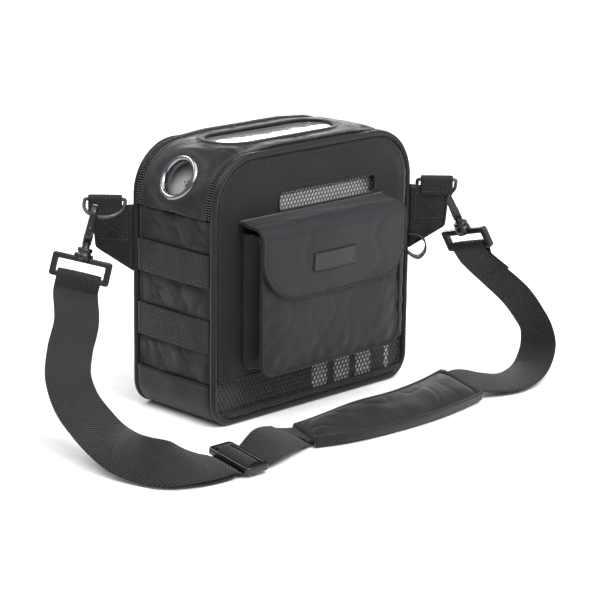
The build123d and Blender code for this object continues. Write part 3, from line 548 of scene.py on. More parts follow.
def webbing_cloth(name, dark, light, rib):
    """Polyester webbing: rows of small raised floats, rib mm apart, each row half a step off the last."""
    material, tree, shader = surface(name, Roughness=0.7, Sheen_Weight=0.2, Sheen_Roughness=0.4,
                                     Specular_IOR_Level=0.3)
    place = put(tree, "ShaderNodeTexCoord").outputs["UV"]
    parts = put(tree, "ShaderNodeSeparateXYZ", {0: place})
    waves = []
    for axis, pitch in (("X", rib), ("Y", rib * 1.15)):
        turns = put(tree, "ShaderNodeMath", {0: parts.outputs[axis], 1: math.pi / (pitch * MM)},
                    operation="MULTIPLY")
        waves.append(put(tree, "ShaderNodeMath", {0: turns.outputs[0]}, operation="SINE"))
    checks = put(tree, "ShaderNodeMath", {0: waves[0].outputs[0], 1: waves[1].outputs[0]},
                 operation="MULTIPLY")
    floats = put(tree, "ShaderNodeMapRange",
                 {"Value": checks.outputs[0], "From Min": -0.45, "From Max": 0.8})
    dimming_noise = put(tree, "ShaderNodeTexNoise", {"Vector": place, "Scale": 1 / (9 * MM), "Detail": 4.0})
    patchy_dimming = put(tree, "ShaderNodeMapRange", {"Value": dimming_noise.outputs["Fac"], "From Min": 0.3, "From Max": 0.7,
                                            "To Min": 0.55})
    # The raised floats are painted lighter than the ground between them, a painted highlight, dimmed in
    # random patches.
    float_highlight = put(tree, "ShaderNodeMath", {0: floats.outputs[0], 1: patchy_dimming.outputs[0]}, operation="MULTIPLY")
    tree.links.new(two_tone(tree, float_highlight.outputs[0], dark, light), shader.inputs["Base Color"])
    bump = put(tree, "ShaderNodeBump", {"Height": floats.outputs[0], "Strength": 0.9, "Distance": 0.5 * MM})
    tree.links.new(bump.outputs[0], shader.inputs["Normal"])
    return material


def plain(name, colour, roughness, metallic=0.0, grain=0.6, relief=0.12, wear=0.06, **more):
    """Moulded or metal finish: one colour with fine grain (mm) in its relief and roughness."""
    material, tree, shader = surface(name, Metallic=metallic, **more)
    place = put(tree, "ShaderNodeTexCoord").outputs["Object"]
    speck = put(tree, "ShaderNodeTexNoise", {"Vector": place, "Scale": 1 / (grain * MM), "Detail": 3.0})
    patch = put(tree, "ShaderNodeTexNoise", {"Vector": place, "Scale": 1 / (14 * MM), "Detail": 2.0})
    shade = put(tree, "ShaderNodeMapRange", {"Value": patch.outputs["Fac"], "To Min": 0.9, "To Max": 1.06})
    tint = put(tree, "ShaderNodeVectorMath", {0: linear(colour)[:3], "Scale": shade.outputs[0]},
               operation="SCALE")
    tree.links.new(tint.outputs[0], shader.inputs["Base Color"])
    rough = put(tree, "ShaderNodeMapRange",
                {"Value": patch.outputs["Fac"], "To Min": max(roughness - wear, 0.02),
                                             "To Max": roughness + wear})
    tree.links.new(rough.outputs[0], shader.inputs["Roughness"])
    bump = put(tree, "ShaderNodeBump",
               {"Height": speck.outputs["Fac"], "Strength": relief, "Distance": 0.1 * MM})
    tree.links.new(bump.outputs[0], shader.inputs["Normal"])
    return material


# Ballistic nylon, coated: dull charcoal with visible crossed threads and a faint sheen.
BODY_NYLON = woven("ballistic nylon", "#0c0c0e", "#17171b", 0.62, 1.6, 0.8, 60, sheen=0.14)
# Lighter packcloth on the sides and the pocket's gusset, where its darker tone is also painted shade:
# smoother, glossier, and it crinkles.
SIDE_NYLON = woven("nylon packcloth", "#09090b", "#18181d", 0.5, 1.2, 0.45, 22, sheen=0.14)
FLAP_NYLON = woven("nylon packcloth, pocket", "#131317", "#1e1e24", 0.46, 1.2, 0.4, 34, sheen=0.22)
# Polyester webbing, loom-woven: cross ribs that catch the light along the strap.
STRAP_WEB = webbing_cloth("polyester webbing", "#070708", "#26262a", 1.5)
BAND_WEB = webbing_cloth("polyester twill band", "#060607", "#1c1c20", 1.5)
# Grosgrain tape folded over raw edges: dull, with fine cross lines.
EDGE_TAPE = woven("grosgrain binding", "#0b0b0d", "#141417", 0.6, 1.0, 0.5, 40, sheen=0.16)
PIPING_CLOTH = woven("nylon piping cover", "#0d0d0f", "#17171a", 0.42, 1.0, 0.25, 30, sheen=0.16)
# Bonded nylon thread: slightly brighter than the cloth, so that the stitch lines read.
THREAD = plain("bonded thread", "#2a2a2d", 0.55, grain=0.3)
# Polyester mesh yarn: black and slightly shiny.
MESH_YARN = plain("knitted mesh yarn", "#0b0b0c", 0.45, grain=0.4)
# Grey sheet seen through the lower mesh: painted shade standing in for the shaded space behind it, dull, so
# that the black net reads on it.
MESH_SHADE_SHEET = plain("painted shade behind mesh", "#56565a", 0.8, grain=1.0)
# Enamelled steel wire rings, dark grey.
GUNMETAL = plain("dark enamelled steel", "#4a4a4e", 0.34, metallic=0.6, grain=0.8)
# Air-mesh foam cloth under the shoulder pad.
PAD_NYLON = woven("nylon over foam", "#0c0c0f", "#18181d", 0.55, 1.2, 0.45, 22, sheen=0.24)
# Acetal zip coil, black and a little glossy.
COIL = plain("zip coil", "#36363a", 0.26, grain=0.5)
ENAMEL = plain("black enamelled zinc", "#141415", 0.3, metallic=0.0, Coat_Weight=0.3)
# Acetal buckle, injection moulded: satin with soft highlights on its edges.
ACETAL = plain("moulded acetal", "#131314", 0.34, grain=0.8, relief=0.2)
# Nickel plate over die-cast zinc: bright, with soft polishing marks.
NICKEL = plain("nickel plate", "#8b8b8f", 0.16, metallic=1.0, grain=1.2, relief=0.06)
# ABS housing, fine spark texture: light grey-white and satin.
HOUSING = plain("textured abs housing", "#d9d9d6", 0.42, grain=0.7, relief=0.15)
PANEL_GREY = plain("keypad overlay", "#3a3d42", 0.35, grain=0.5)
KEY_RUBBER = plain("silicone key", "#8d9299", 0.55, grain=0.5)
OUTLET_PLASTIC = plain("clear-grey nylon fitting", "#9a9da1", 0.3, grain=0.6)
STEEL = plain("machined steel", "#a9abad", 0.3, metallic=1.0, grain=0.8)
ALUMINIUM = plain("drawn aluminium", "#c4c6c8", 0.35, metallic=1.0, grain=0.8)
FOAM = plain("open filter foam", "#202124", 0.9, grain=1.6, relief=0.8)
BATTERY_CASE = plain("battery case", "#1d1e20", 0.5, grain=0.8)
BOARD = plain("solder mask", "#14532d", 0.35, grain=0.8)
LABEL = plain("embossed pvc label", "#050506", 0.34, grain=0.5)


def clear_vinyl():
    """Clear flexible PVC: mostly see-through, faintly milky, with a wet shine."""
    material, tree, shader = surface("clear vinyl", Metallic=0.0, IOR=1.5, Alpha=0.3, Coat_Weight=1.0,
                                     Coat_Roughness=0.03)
    place = put(tree, "ShaderNodeTexCoord").outputs["Object"]
    wave = put(tree, "ShaderNodeTexNoise", {"Vector": place, "Scale": 1 / (45 * MM), "Detail": 2.0})
    shade = put(tree, "ShaderNodeMapRange", {"Value": wave.outputs["Fac"], "To Min": 0.04, "To Max": 0.1})
    tree.links.new(shade.outputs[0], shader.inputs["Roughness"])
    shader.inputs["Base Color"].default_value = linear("#c9cdd0")
    bump = put(tree, "ShaderNodeBump",
               {"Height": wave.outputs["Fac"], "Strength": 0.4, "Distance": 2.5 * MM})
    tree.links.new(bump.outputs[0], shader.inputs["Normal"])
    return material


VINYL = clear_vinyl()


# ---- what repeats: stitches, coil teeth, mesh --------------------------------------------------


def bead_tree(name, pivot):
    """Node tree that sets long beads along a line: stitches, or the teeth of a zip."""
    tree = bpy.data.node_groups.new(name, "GeometryNodeTree")
    face = tree.interface
    face.new_socket("Geometry", in_out="INPUT", socket_type="NodeSocketGeometry")
    for label, value in (("Pitch", 0.0035), ("Long", 0.0026), ("Wide", 0.0008), ("High", 0.0007)):
        face.new_socket(label, in_out="INPUT", socket_type="NodeSocketFloat").default_value = value
    face.new_socket("Material", in_out="INPUT", socket_type="NodeSocketMaterial")
    face.new_socket("Geometry", in_out="OUTPUT", socket_type="NodeSocketGeometry")
    given = put(tree, "NodeGroupInput").outputs
    curve = put(tree, "GeometryNodeMeshToCurve", {"Mesh": given["Geometry"]})
    line = put(tree, "GeometryNodeResampleCurve", {"Curve": curve.outputs[0], "Length": given["Pitch"]},
               mode="LENGTH")
    bead = put(tree, "GeometryNodeMeshUVSphere", {"Segments": 8, "Rings": 5, "Radius": 0.5})
    size = put(tree, "ShaderNodeCombineXYZ", {"X": given["Long"], "Y": given["Wide"], "Z": given["High"]})
    shaped = put(tree, "GeometryNodeTransform", {"Geometry": bead.outputs[0], "Scale": size.outputs[0]})
    turn = put(tree, "FunctionNodeAlignRotationToVector",
               {"Vector": put(tree, "GeometryNodeInputTangent").outputs[0]}, axis="X", pivot_axis=pivot)
    beads = put(tree, "GeometryNodeInstanceOnPoints",
                {"Points": line.outputs[0], "Instance": shaped.outputs[0], "Rotation": turn.outputs[0]})
    real = put(tree, "GeometryNodeRealizeInstances", {"Geometry": beads.outputs[0]})
    smooth = put(tree, "GeometryNodeSetShadeSmooth", {"Geometry": real.outputs[0]})
    coloured = put(tree, "GeometryNodeSetMaterial",
                   {"Geometry": smooth.outputs[0], "Material": given["Material"]})
    put(tree, "NodeGroupOutput", {"Geometry": coloured.outputs[0]})
    return tree


def net_tree():
    """Node tree that turns a net of edges into round strands."""
    tree = bpy.data.node_groups.new("mesh strands", "GeometryNodeTree")
    face = tree.interface
    face.new_socket("Geometry", in_out="INPUT", socket_type="NodeSocketGeometry")
    face.new_socket("Strand", in_out="INPUT", socket_type="NodeSocketFloat").default_value = 0.0004
    face.new_socket("Material", in_out="INPUT", socket_type="NodeSocketMaterial")
    face.new_socket("Geometry", in_out="OUTPUT", socket_type="NodeSocketGeometry")
    given = put(tree, "NodeGroupInput").outputs
    curve = put(tree, "GeometryNodeMeshToCurve", {"Mesh": given["Geometry"]})
    section = put(tree, "GeometryNodeCurvePrimitiveCircle", {"Resolution": 5, "Radius": given["Strand"]})
    strands = put(tree, "GeometryNodeCurveToMesh",
                  {"Curve": curve.outputs[0], "Profile Curve": section.outputs[0],
                                                    "Fill Caps": True})
    real = put(tree, "GeometryNodeRealizeInstances", {"Geometry": strands.outputs[0]})
    smooth = put(tree, "GeometryNodeSetShadeSmooth", {"Geometry": real.outputs[0]})
    coloured = put(tree, "GeometryNodeSetMaterial",
                   {"Geometry": smooth.outputs[0], "Material": given["Material"]})
    put(tree, "NodeGroupOutput", {"Geometry": coloured.outputs[0]})
    return tree


STITCH_TREE = bead_tree("stitches", "AUTO")
TEETH_TREE = bead_tree("zip teeth", "Y")
NET_TREE = net_tree()


def line_piece(name, paths, closed=False):
    """Bare edges along polylines, for a node tree to follow."""
    points, edges = [], []
    for path in paths:
        first = len(points)
        points += [tuple(Vector(p) * MM) for p in path]
        edges += [(first + k, first + k + 1) for k in range(len(path) - 1)]
        if closed:
            edges.append((len(points) - 1, first))
    mesh = bpy.data.meshes.new(name)
    mesh.from_pydata(points, edges, [])
    piece = bpy.data.objects.new(name, mesh)
    bpy.context.scene.collection.objects.link(piece)
    return piece


def grown(name, source, tree, values):
    """Runs a node tree on bare edges and returns its result as a plain mesh piece."""
    modifier = source.modifiers.new("grow", "NODES")
    modifier.node_group = tree
    for item in tree.interface.items_tree:
        if item.in_out == "INPUT" and item.name in values:
            modifier[item.identifier] = values[item.name]
    bpy.context.view_layer.update()
    depsgraph = bpy.context.evaluated_depsgraph_get()
    mesh = bpy.data.meshes.new_from_object(source.evaluated_get(depsgraph), depsgraph=depsgraph)
    bpy.data.objects.remove(source)
    piece = bpy.data.objects.new(name, mesh)
    bpy.context.scene.collection.objects.link(piece)
    return piece


def stitches(name, paths, body, pitch=3.4, size=2.5, thick=0.75, closed=False,
             material=None):
    """Rows of stitches along polylines, riding on a body (or on none)."""
    source = line_piece(name + "_line", paths, closed)
    material = material or THREAD
    piece = grown(name, source, STITCH_TREE, {"Pitch": pitch * MM, "Long": size * MM, "Wide": thick * MM,
                                              "High": thick * MM, "Material": material})
    return finish(piece, body, material)


def zip_teeth(name, path, body, nodes=()):
    """One side's coil teeth along a path."""
    source = line_piece(name + "_line", [path])
    piece = grown(name, source, TEETH_TREE, {"Pitch": 2.1 * MM, "Long": 1.3 * MM, "Wide": 3.2 * MM,
                                             "High": 2.2 * MM, "Material": COIL})
    return finish(piece, body, COIL, nodes)


# ---- bag panels --------------------------------------------------------------------------------

OUT_FRONT, OUT_BACK = Vector((0, -1, 0)), Vector((0, 1, 0))


def front_gap(x, z):
    openings = np.minimum(box_gap(x, z, SLOT, 3.0),
                          np.abs(z - sum(LOWER_MESH) / 2) - (LOWER_MESH[1] - LOWER_MESH[0]) / 2)
    return np.maximum(arch_gap(x, z, 3.0), -openings)


def panel_depth(x, z, seed):
    """How far a panel's face stands out from the bag's middle: drawn in at its seam, full inside."""
    inside = -arch_gap(x, z, 3.0)
    pucker = np.exp(-np.maximum(inside, 0) / 7) * swell(x, z, 11, seed + 1) * 0.35
    return 49.8 + 2.2 * ease(inside / 15) + 0.35 * swell(x, z, 75, seed) + pucker


def front_place(x, z):
    return np.stack([x, -panel_depth(x, z, 3), z], 1)


def back_place(x, z):
    return np.stack([x, panel_depth(x, z, 8), z], 1)


front = cut_sheet("front_cloth", (-117, 117), (5, 231), 2.6, front_gap, front_place)
finish(face_out(front, OUT_FRONT), "bag", BODY_NYLON, ["front_panel"], solid=2.4)
back = cut_sheet("back_cloth", (-117, 117), (5, 231), 3.0, lambda x, z: arch_gap(x, z, 3.0), back_place)
finish(face_out(back, OUT_BACK), None, BODY_NYLON, ["back_panel_lower", "back_panel_upper"],
       solid=2.4)
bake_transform(flattened(back))


def top_bulge(s):
    """How far the zipped top stands above its piping: little at the zip ends, most along the top."""
    return 1.2 + 3.0 * ease(np.minimum(s, TOP_RUN - s) / 60)


def zip_rise(s):
    """How far the zips stand above the piping: low round the corners, so that the sliders run clear."""
    return 1.2 + 3.0 * ease((np.minimum(s, TOP_RUN - s) - 62) / 50)


def top_out(s, v):
    edge = ease((np.abs(v) - 34) / 7)
    folds = 0.35 * swell(s, v, 60, 21) - 0.9 * creases(s, v * 0.8, 30, 24, 0.14)
    base = zip_rise(s) + (top_bulge(s) - zip_rise(s)) * (1 - ease((np.abs(v) - 26) / 13))
    return base + 0.9 * (1 - (v / 41) ** 2) + folds * (1 - edge)


CORNER = np.array([-(SEAM_X - TOP_R), 0, SEAM_HIGH - TOP_R])
EYE = np.array([-math.cos(math.radians(30)), 0, math.sin(math.radians(30))])
EYELET_OUT = 1.6


def top_place(s, v):
    """Top gusset's face: it rises round the eyelet to lie flat under its flange."""
    points = hoop(s, v, top_out(s, v))
    reach = points - CORNER
    height = reach @ EYE
    off_axis = np.linalg.norm(reach - height[:, None] * EYE, axis=1)
    lift = (TOP_R + EYELET_OUT - 0.1 - height) * (1 - ease((off_axis - 22.5) / 12)) * (height > 0)
    return points + EYE * lift[:, None]


def top_gap(s, v):
    x = s - hoop_s_at_top(0)
    window = np.hypot(np.maximum(np.abs(x - (PANE[0] + PANE[1]) / 2) - (PANE[1] - PANE[0]) / 2 + PANE[2],
                                 0), v) - PANE[2]
    eyelet = np.hypot(TOP_R * np.sin(np.clip((s - EYELET_S) / TOP_R, -1.5, 1.5)), v) - 17.6
    strip = np.maximum(np.abs(s - TOP_RUN / 2) - TOP_RUN / 2, np.abs(v) - 41)
    return np.maximum(strip, -np.minimum(window, eyelet))


def out_from_middle(piece):
    """Turns a gusset's faces away from the bag's middle."""
    middle = Vector((0, 0, (SEAM_LOW + SEAM_HIGH) / 2)) * MM
    total = sum(f.normal.dot(Vector((f.center.x, 0, f.center.z)) - Vector((middle.x, 0, middle.z))) * f.area
                for f in piece.data.polygons)
    if total < 0:
        piece.data.flip_normals()
    return piece


top = cut_sheet("top_cloth", (0, TOP_RUN), (-41, 41), 2.4, top_gap, top_place)
finish(out_from_middle(top), "bag", SIDE_NYLON, ["top_gusset"], solid=1.8)

BANDS = (123.0, 66.0)
BAND_HIGH = 28.5


def side_out(s, v):
    """Side gusset: held flat under the bands, crinkled and a little full between them."""
    height = hoop(s, v, 0)[:, 2]
    held = np.zeros_like(height)
    for low in BANDS:
        held = np.maximum(held, 1 - ease((np.abs(height - low - BAND_HIGH / 2) - BAND_HIGH / 2) / 5))
    held = np.maximum(held, 1 - ease((height - 34) / 6))
    edge = ease((np.abs(v) - 38) / 8)
    fine = creases(s, v * 0.7, 26, 31) * 0.9 + creases(s * 0.8, v, 15, 37, 0.16) * 0.45
    full = 1.3 + 0.9 * swell(s, v, 34, 33) - 1.1 * fine
    return np.where(height < 6, -0.6, -0.7 + (1 - held) * full * (1 - 0.8 * edge) - 0.8 * edge)


def side_place(s, v):
    return hoop(s, v, side_out(s, v))


side = cut_sheet("side_cloth", (TOP_RUN, HOOP_LENGTH), (-46, 46), 2.6,
                 lambda s,
                 v: np.maximum(np.abs(v) - 46,
                               np.abs(s - (TOP_RUN + HOOP_LENGTH) / 2) - (HOOP_LENGTH - TOP_RUN) / 2),
                 side_place)
finish(out_from_middle(side), "bag", SIDE_NYLON, ["side_gusset"], solid=1.6)

BOOT_RUN = FOLD_Z - 36.0
BOOT_START, BOOT_END = TOP_RUN + BOOT_RUN, HOOP_LENGTH - BOOT_RUN


def boot_out(s, v):
    """Boot: flat underneath, snug on the sides, and gaping a little at its top edge."""
    height = hoop(s, v, 0)[:, 2]
    gape = ease((height - 16) / 20) * (1.5 * np.cos(v / 46 * math.pi / 2) ** 2 + 0.4 * swell(s, v, 24, 44))
    return np.where(height < 4, 3.0,
                    2.5 - 0.5 * ease((height - 4) / 10) + gape - 0.6 * ease((np.abs(v) - 41) / 5))


def boot_place(s, v):
    return hoop(s, v, boot_out(s, v))


boot = cut_sheet("boot_cloth", (BOOT_START, BOOT_END), (-45.8, 45.8), 2.8,
                 lambda s,
                 v: np.maximum(np.abs(v) - 45.8,
                               np.abs(s - (BOOT_START + BOOT_END) / 2) - (BOOT_END - BOOT_START) / 2),
                 boot_place)
finish(out_from_middle(boot), "bag", SIDE_NYLON, ["bottom_boot"], solid=1.5)
for end, tag in ((BOOT_START, "right"), (BOOT_END, "left")):
    depth = np.linspace(-45.5, 45.5, 40)
    rim = boot_place(np.full(40, end), depth)
    piece = swept(f"boot_hem_{tag}", rim - (rim - hoop(np.full(40, end), depth, 0)) * 0.28, [(0, 0, 1)] * 40,
                  ring_profile(2.2, 10, 0.55))
    finish(piece, "bag", EDGE_TAPE)

# ---- piping, zips and eyelet -------------------------------------------------------------------


def piping(name, y, body, nodes):
    """Cord covered with cloth along the whole outline."""
    s = np.linspace(0, HOOP_LENGTH, 300, endpoint=False)
    centres = hoop(s, y, 0)
    normal = hoop(s, y, 1) - centres
    size = 0.97 + 0.025 * swell(s, s * 0, 30, 51)
    piece = swept(name, centres, normal, ring_profile(2.95, 14), closed=True, scales=size)
    return finish(piece, body, PIPING_CLOTH, nodes)


piping("front_piping_cloth", -PIPING_Y, "bag", ["front_piping"])
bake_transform(piping("back_piping_cloth", PIPING_Y, None, ["back_piping_lower", "back_piping_upper"]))


def zip_half(name, y_low, y_high, teeth_y, body, nodes):
    """Tape and teeth of one side of a zip, over the top of the bag."""
    tape = cut_sheet(name + "_tape", (1, TOP_RUN - 1), (y_low, y_high), 1.1,
                     lambda s, v: np.maximum(np.abs(v - (y_low + y_high) / 2) - (y_high - y_low) / 2,
                                             np.abs(s - TOP_RUN / 2) - TOP_RUN / 2 + 1),
                     lambda s, v: hoop(s, v, zip_rise(s) * ease((47.6 - np.abs(v)) / 4) - 0.6))
    finish(out_from_middle(tape), body, EDGE_TAPE, nodes, solid=0.6)
    run = np.linspace(2, TOP_RUN - 2, 260)
    zip_teeth(name + "_teeth", hoop(run, teeth_y, zip_rise(run) + 0.7), body)


zip_half("front_zip_rear", -43.4, -40.2, -42.0, "bag", ["front_zip_chain"])
zip_half("front_zip_fore", -47.4, -43.6, -45.0, "bag", [])
zip_half("back_zip_fore", 40.2, 43.4, 42.0, "bag", ["back_zip_inner"])
zip_half("back_zip_rear", 43.6, 47.4, 45.0, "back_flap", ["back_zip_outer"])

rolled = [(15.6, -7.6), (15.2, -6.0), (14.9, -3.0), (15.2, -0.6), (16.0, 1.1), (17.4, 2.0), (18.8, 2.05),
          (20.1, 1.35),
          (20.9, 0.3), (21.2, -0.5), (17.4, -0.6), (17.0, -7.6)]
finish(turned("eyelet_ring", rolled, CORNER + EYE * (TOP_R + EYELET_OUT), EYE, 72), "bag", NICKEL,
       ["eyelet"],
       levels=1)

# ---- top window --------------------------------------------------------------------------------


def stadium(grow, z, count=24):
    """Closed line round the top window, grown by some millimetres."""
    radius = PANE[2] + grow
    ends = (PANE[0] + PANE[2], PANE[1] - PANE[2])
    turns = np.linspace(math.pi / 2, 3 * math.pi / 2, count)
    left = [(ends[0] + radius * math.cos(t), radius * math.sin(t), z) for t in turns]
    right = [(ends[1] - radius * math.cos(t), -radius * math.sin(t), z) for t in turns]
    return evened(left + right, 3.0, closed=True)


def pane_place(x, y):
    return np.stack([x, y, SEAM_HIGH + 3.7 + 0.25 * swell(x, y * 0.7, 110, 61) - 0.9 * (y / 24) ** 2], 1)


PANE_MIDDLE, PANE_STRAIGHT = (PANE[0] + PANE[1]) / 2, (PANE[1] - PANE[0]) / 2 - PANE[2]
pane = cut_sheet("vinyl_pane", (PANE[0], PANE[1]), (-PANE[2], PANE[2]), 3.0,
                 lambda x, y: np.hypot(np.maximum(np.abs(x - PANE_MIDDLE) - PANE_STRAIGHT, 0), y) - PANE[2],
                 pane_place)
finish(face_out(pane, Vector((0, 0, 1))), "bag", VINYL, ["top_window"], solid=0.5)


def from_pane_middle(line):
    """Directions from the window's middle line out to a line round it."""
    along = line[:, 0] - PANE_MIDDLE
    return [(a - np.clip(a, -PANE_STRAIGHT, PANE_STRAIGHT), y, 0) for a, y in zip(along, line[:, 1])]


rim = stadium(0.6, SEAM_HIGH + 4.9)
finish(swept("window_binding", rim, from_pane_middle(rim), ring_profile(3.1, 12, 0.42), closed=True), "bag",
       EDGE_TAPE)
stitches("window_stitches", [stadium(5.0, SEAM_HIGH + 5.15)], "bag", closed=True)

# ---- mesh windows ------------------------------------------------------------------------------


def net(name, box, y, pitch, strand, gap):
    """Knitted mesh with six-sided holes, kept where gap(x, z) is below zero."""
    points, edges, seen = [], [], {}

    def corner(x, z):
        key = (round(x, 2), round(z, 2))
        if key not in seen:
            seen[key] = len(points)
            points.append((x, y, z))
        return seen[key]

    side_length = pitch / math.sqrt(3)
    rows = int((box[3] - box[2]) / (1.5 * side_length)) + 2
    columns = int((box[1] - box[0]) / pitch) + 2
    for row in range(rows):
        for column in range(columns):
            x = box[0] + (column + 0.5 * (row % 2)) * pitch
            z = box[2] + row * 1.5 * side_length
            ring = [corner(x + side_length * math.sin(math.radians(60 * k)),
                           z + side_length * math.cos(math.radians(60 * k)))
                    for k in range(4)]
            edges += [(ring[k], ring[k + 1]) for k in range(3)]
    places = np.array(points)
    kept = gap(places[:, 0], places[:, 2]) < 0
    number = np.cumsum(kept) - 1
    mesh = bpy.data.meshes.new(name + "_edges")
    mesh.from_pydata([tuple(p * MM) for p in places[kept]],
                     [(int(number[a]), int(number[b])) for a,
                      b in sorted(set(map(tuple, edges))) if kept[a] and kept[b]], [])
    source = bpy.data.objects.new(name + "_edges", mesh)
    bpy.context.scene.collection.objects.link(source)
    return grown(name, source, NET_TREE, {"Strand": strand * MM, "Material": MESH_YARN})


def grown_box(box, grow):
    return (box[0] - grow, box[1] + grow, box[2] - grow, box[3] + grow)


def mesh_gap(x, z):
    return np.maximum(arch_gap(x, z, 2.5), np.abs(z - sum(LOWER_MESH) / 2) - 15.5)


slot_net = grown_box(SLOT, 2.5)
finish(net("slot_mesh", slot_net, -49.3, 3.9, 0.46, lambda x, z: box_gap(x, z, slot_net, 3.0)), "bag",
       MESH_YARN, ["front_mesh"])
finish(net("lower_mesh", (-117, 117, 9.5, 43), -49.0, 4.4, 0.55, mesh_gap), "bag", MESH_YARN)


def backing(name, box, y, material):
    """Flat sheet standing behind a mesh window."""
    sheet = cut_sheet(name, box[:2], box[2:], 4.0, lambda x,
                      z: np.maximum(box_gap(x, z, box, 1.0), arch_gap(x, z, 3.0)),
                      lambda x, z: np.stack([x, y + 0 * x, z], 1))
    return finish(face_out(sheet, OUT_FRONT), "bag", material, solid=0.6)


# Painted shade: a grey sheet behind the lower mesh stands in for the shaded space inside the bag.
backing("lower_mesh_shade_sheet", (-117, 117, 8.5, 44), -46.4, MESH_SHADE_SHEET)
backing("slot_housing", (-50, 63, 176, 199), -47.4, HOUSING)
for index, (low, high) in enumerate(((2.4, 21.5), (30.3, 49.8), (57.7, 77.5), (95.5, 101.0))):
    backing(f"housing_rib_{index + 1}", (low, high, 9.5, 43), -47.2, HOUSING)


def rounded_box(box, radius, y):
    """Closed line round a box with rounded corners, at depth y."""
    corners = [(box[0], y, box[2]), (box[1], y, box[2]), (box[1], y, box[3]), (box[0], y, box[3])]
    return evened(rounded(corners, [radius] * 4, closed=True), 2.0, closed=True)


line = rounded_box(grown_box(SLOT, 1.0), 4.0, -52.0)
middle = Vector(((SLOT[0] + SLOT[1]) / 2, -52, (SLOT[2] + SLOT[3]) / 2))
finish(swept("slot_window_binding", line, [Vector(p) - middle for p in line], ring_profile(1.3, 10, 0.7),
             closed=True),
       "bag", EDGE_TAPE)
around = rounded_box(grown_box(SLOT, 3.6), 6.6, -52.0)
around[:, 1] = -panel_depth(around[:, 0], around[:, 2], 3) - 0.15
stitches("slot_window_stitches", [around], "bag", closed=True)
for tag, z, lift, reach in (("upper", LOWER_MESH[1], 0.4, 113.6), ("lower", LOWER_MESH[0], -0.4, 111.5)):
    along = np.linspace(-reach, reach, 90)
    line = np.stack([along, -panel_depth(along, 0 * along + z, 3) + 0.5, 0 * along + z + lift], 1)
    finish(swept(f"lower_window_binding_{tag}", line, [(0, 0, 1)] * 90, ring_profile(1.5, 10, 0.8)), "bag",
           EDGE_TAPE)
    stitched = np.stack([along, -panel_depth(along, 0 * along + z + 9 * lift, 3) - 0.15,
                         0 * along + z + 9 * lift], 1)
    stitches(f"lower_window_stitches_{tag}", [stitched], "bag")

seam = [(*p,) for p in hoop_path(0, HOOP_LENGTH, -50.3, -6.0, 2.5)]
stitches("front_seam_stitches",
         [[(x, -panel_depth(np.array([x]), np.array([z]), 3)[0] - 0.1, z) for x, y, z in seam]], "bag")
for y, tag in ((-38.6, "front"), (38.6, "back")):
    stitches(f"{tag}_zip_stitches",
             [top_place(np.linspace(3, TOP_RUN - 3, 180), np.full(180, y)) + [0, 0, 0.05]], "bag")

# ---- side bands --------------------------------------------------------------------------------


def band(name, side, low):
    """Flat webbing band across a side, held at its ends."""
    depth = np.linspace(-45.6, 45.6, 36)
    bow = 0.9 * np.cos(depth / 46 * math.pi / 2) + 0.25 * swell(depth, depth * 0, 30, int(low) + side)
    centres = [(side * (SEAM_X + 0.9 + b), y, low + BAND_HIGH / 2 + 0.25 * math.sin(y / 17)) for y,
               b in zip(depth, bow)]
    return swept(name, centres, [(0, 0, 1)] * 36, web_profile(BAND_HIGH, 1.5), uv_across=True)


bands, tacks = [], []
for side, tag in ((LEFT, "left"), (RIGHT, "right")):
    for low in BANDS:
        bands.append(band(f"band_{tag}_{int(low)}", side, low))
        for y in (-43.0, 43.0):
            x = side * (SEAM_X + 1.95)
            tacks.append([(x, y, low + 1.5), (x, y, low + BAND_HIGH - 1.5)])
finish(joined("webbing_bands_cloth", bands), "bag", BAND_WEB, ["webbing_bands"])
stitches("band_stitches", tacks, "bag")

# ---- pocket ------------------------------------------------------------------------------------


def pocket_gap(x, z):
    return box_gap(x, z, POCKET, np.where(z > 110, 3.0, 14.0))


def pocket_place(x, z):
    """Pocket front: full in its lower half, with soft draws from its lower corners."""
    inside = np.maximum(-pocket_gap(x, z), 0)
    full = 2.6 * ease(inside / 26) * (0.75 + 0.25 * ease((140 - z) / 60))
    draw = np.exp(-inside / 16) * swell(x, z, 17, 72) * 0.55
    folds = 0.7 * swell(x, z * 0.6, 62, 71) - 0.8 * creases(x, z, 58, 75, 0.12) * ease(inside / 12)
    return np.stack([x, POCKET_Y + 0.2 - full - 0.5 * folds - draw, z], 1)


pocket = cut_sheet("pocket_cloth", (POCKET[0], POCKET[1]), (POCKET[2], POCKET[3]), 2.4, pocket_gap,
                   pocket_place)
finish(face_out(pocket, OUT_FRONT), "bag", FLAP_NYLON, ["pocket_front"], solid=1.6)


def pocket_path(inset, y):
    """Open line down the pocket's left side, under it and up its right side."""
    corners = [(POCKET[0] + inset, y, POCKET[3]), (POCKET[0] + inset, y, POCKET[2] + inset),
               (POCKET[1] - inset, y, POCKET[2] + inset), (POCKET[1] - inset, y, POCKET[3])]
    return evened(rounded(corners, [0, 14 - inset, 14 - inset, 0]), 2.6)


edge = pocket_path(0.4, POCKET_Y + 0.6)
finish(swept("pocket_binding", edge, [(0, 1, 0)] * len(edge), ring_profile(1.9, 10, 0.75)), "bag",
       EDGE_TAPE)
stitches("pocket_stitches", [[(p[0], pocket_place(np.array([p[0]]), np.array([p[2]]))[0, 1] - 0.1, p[2])
                              for p in pocket_path(4.4, POCKET_Y)]], "bag")


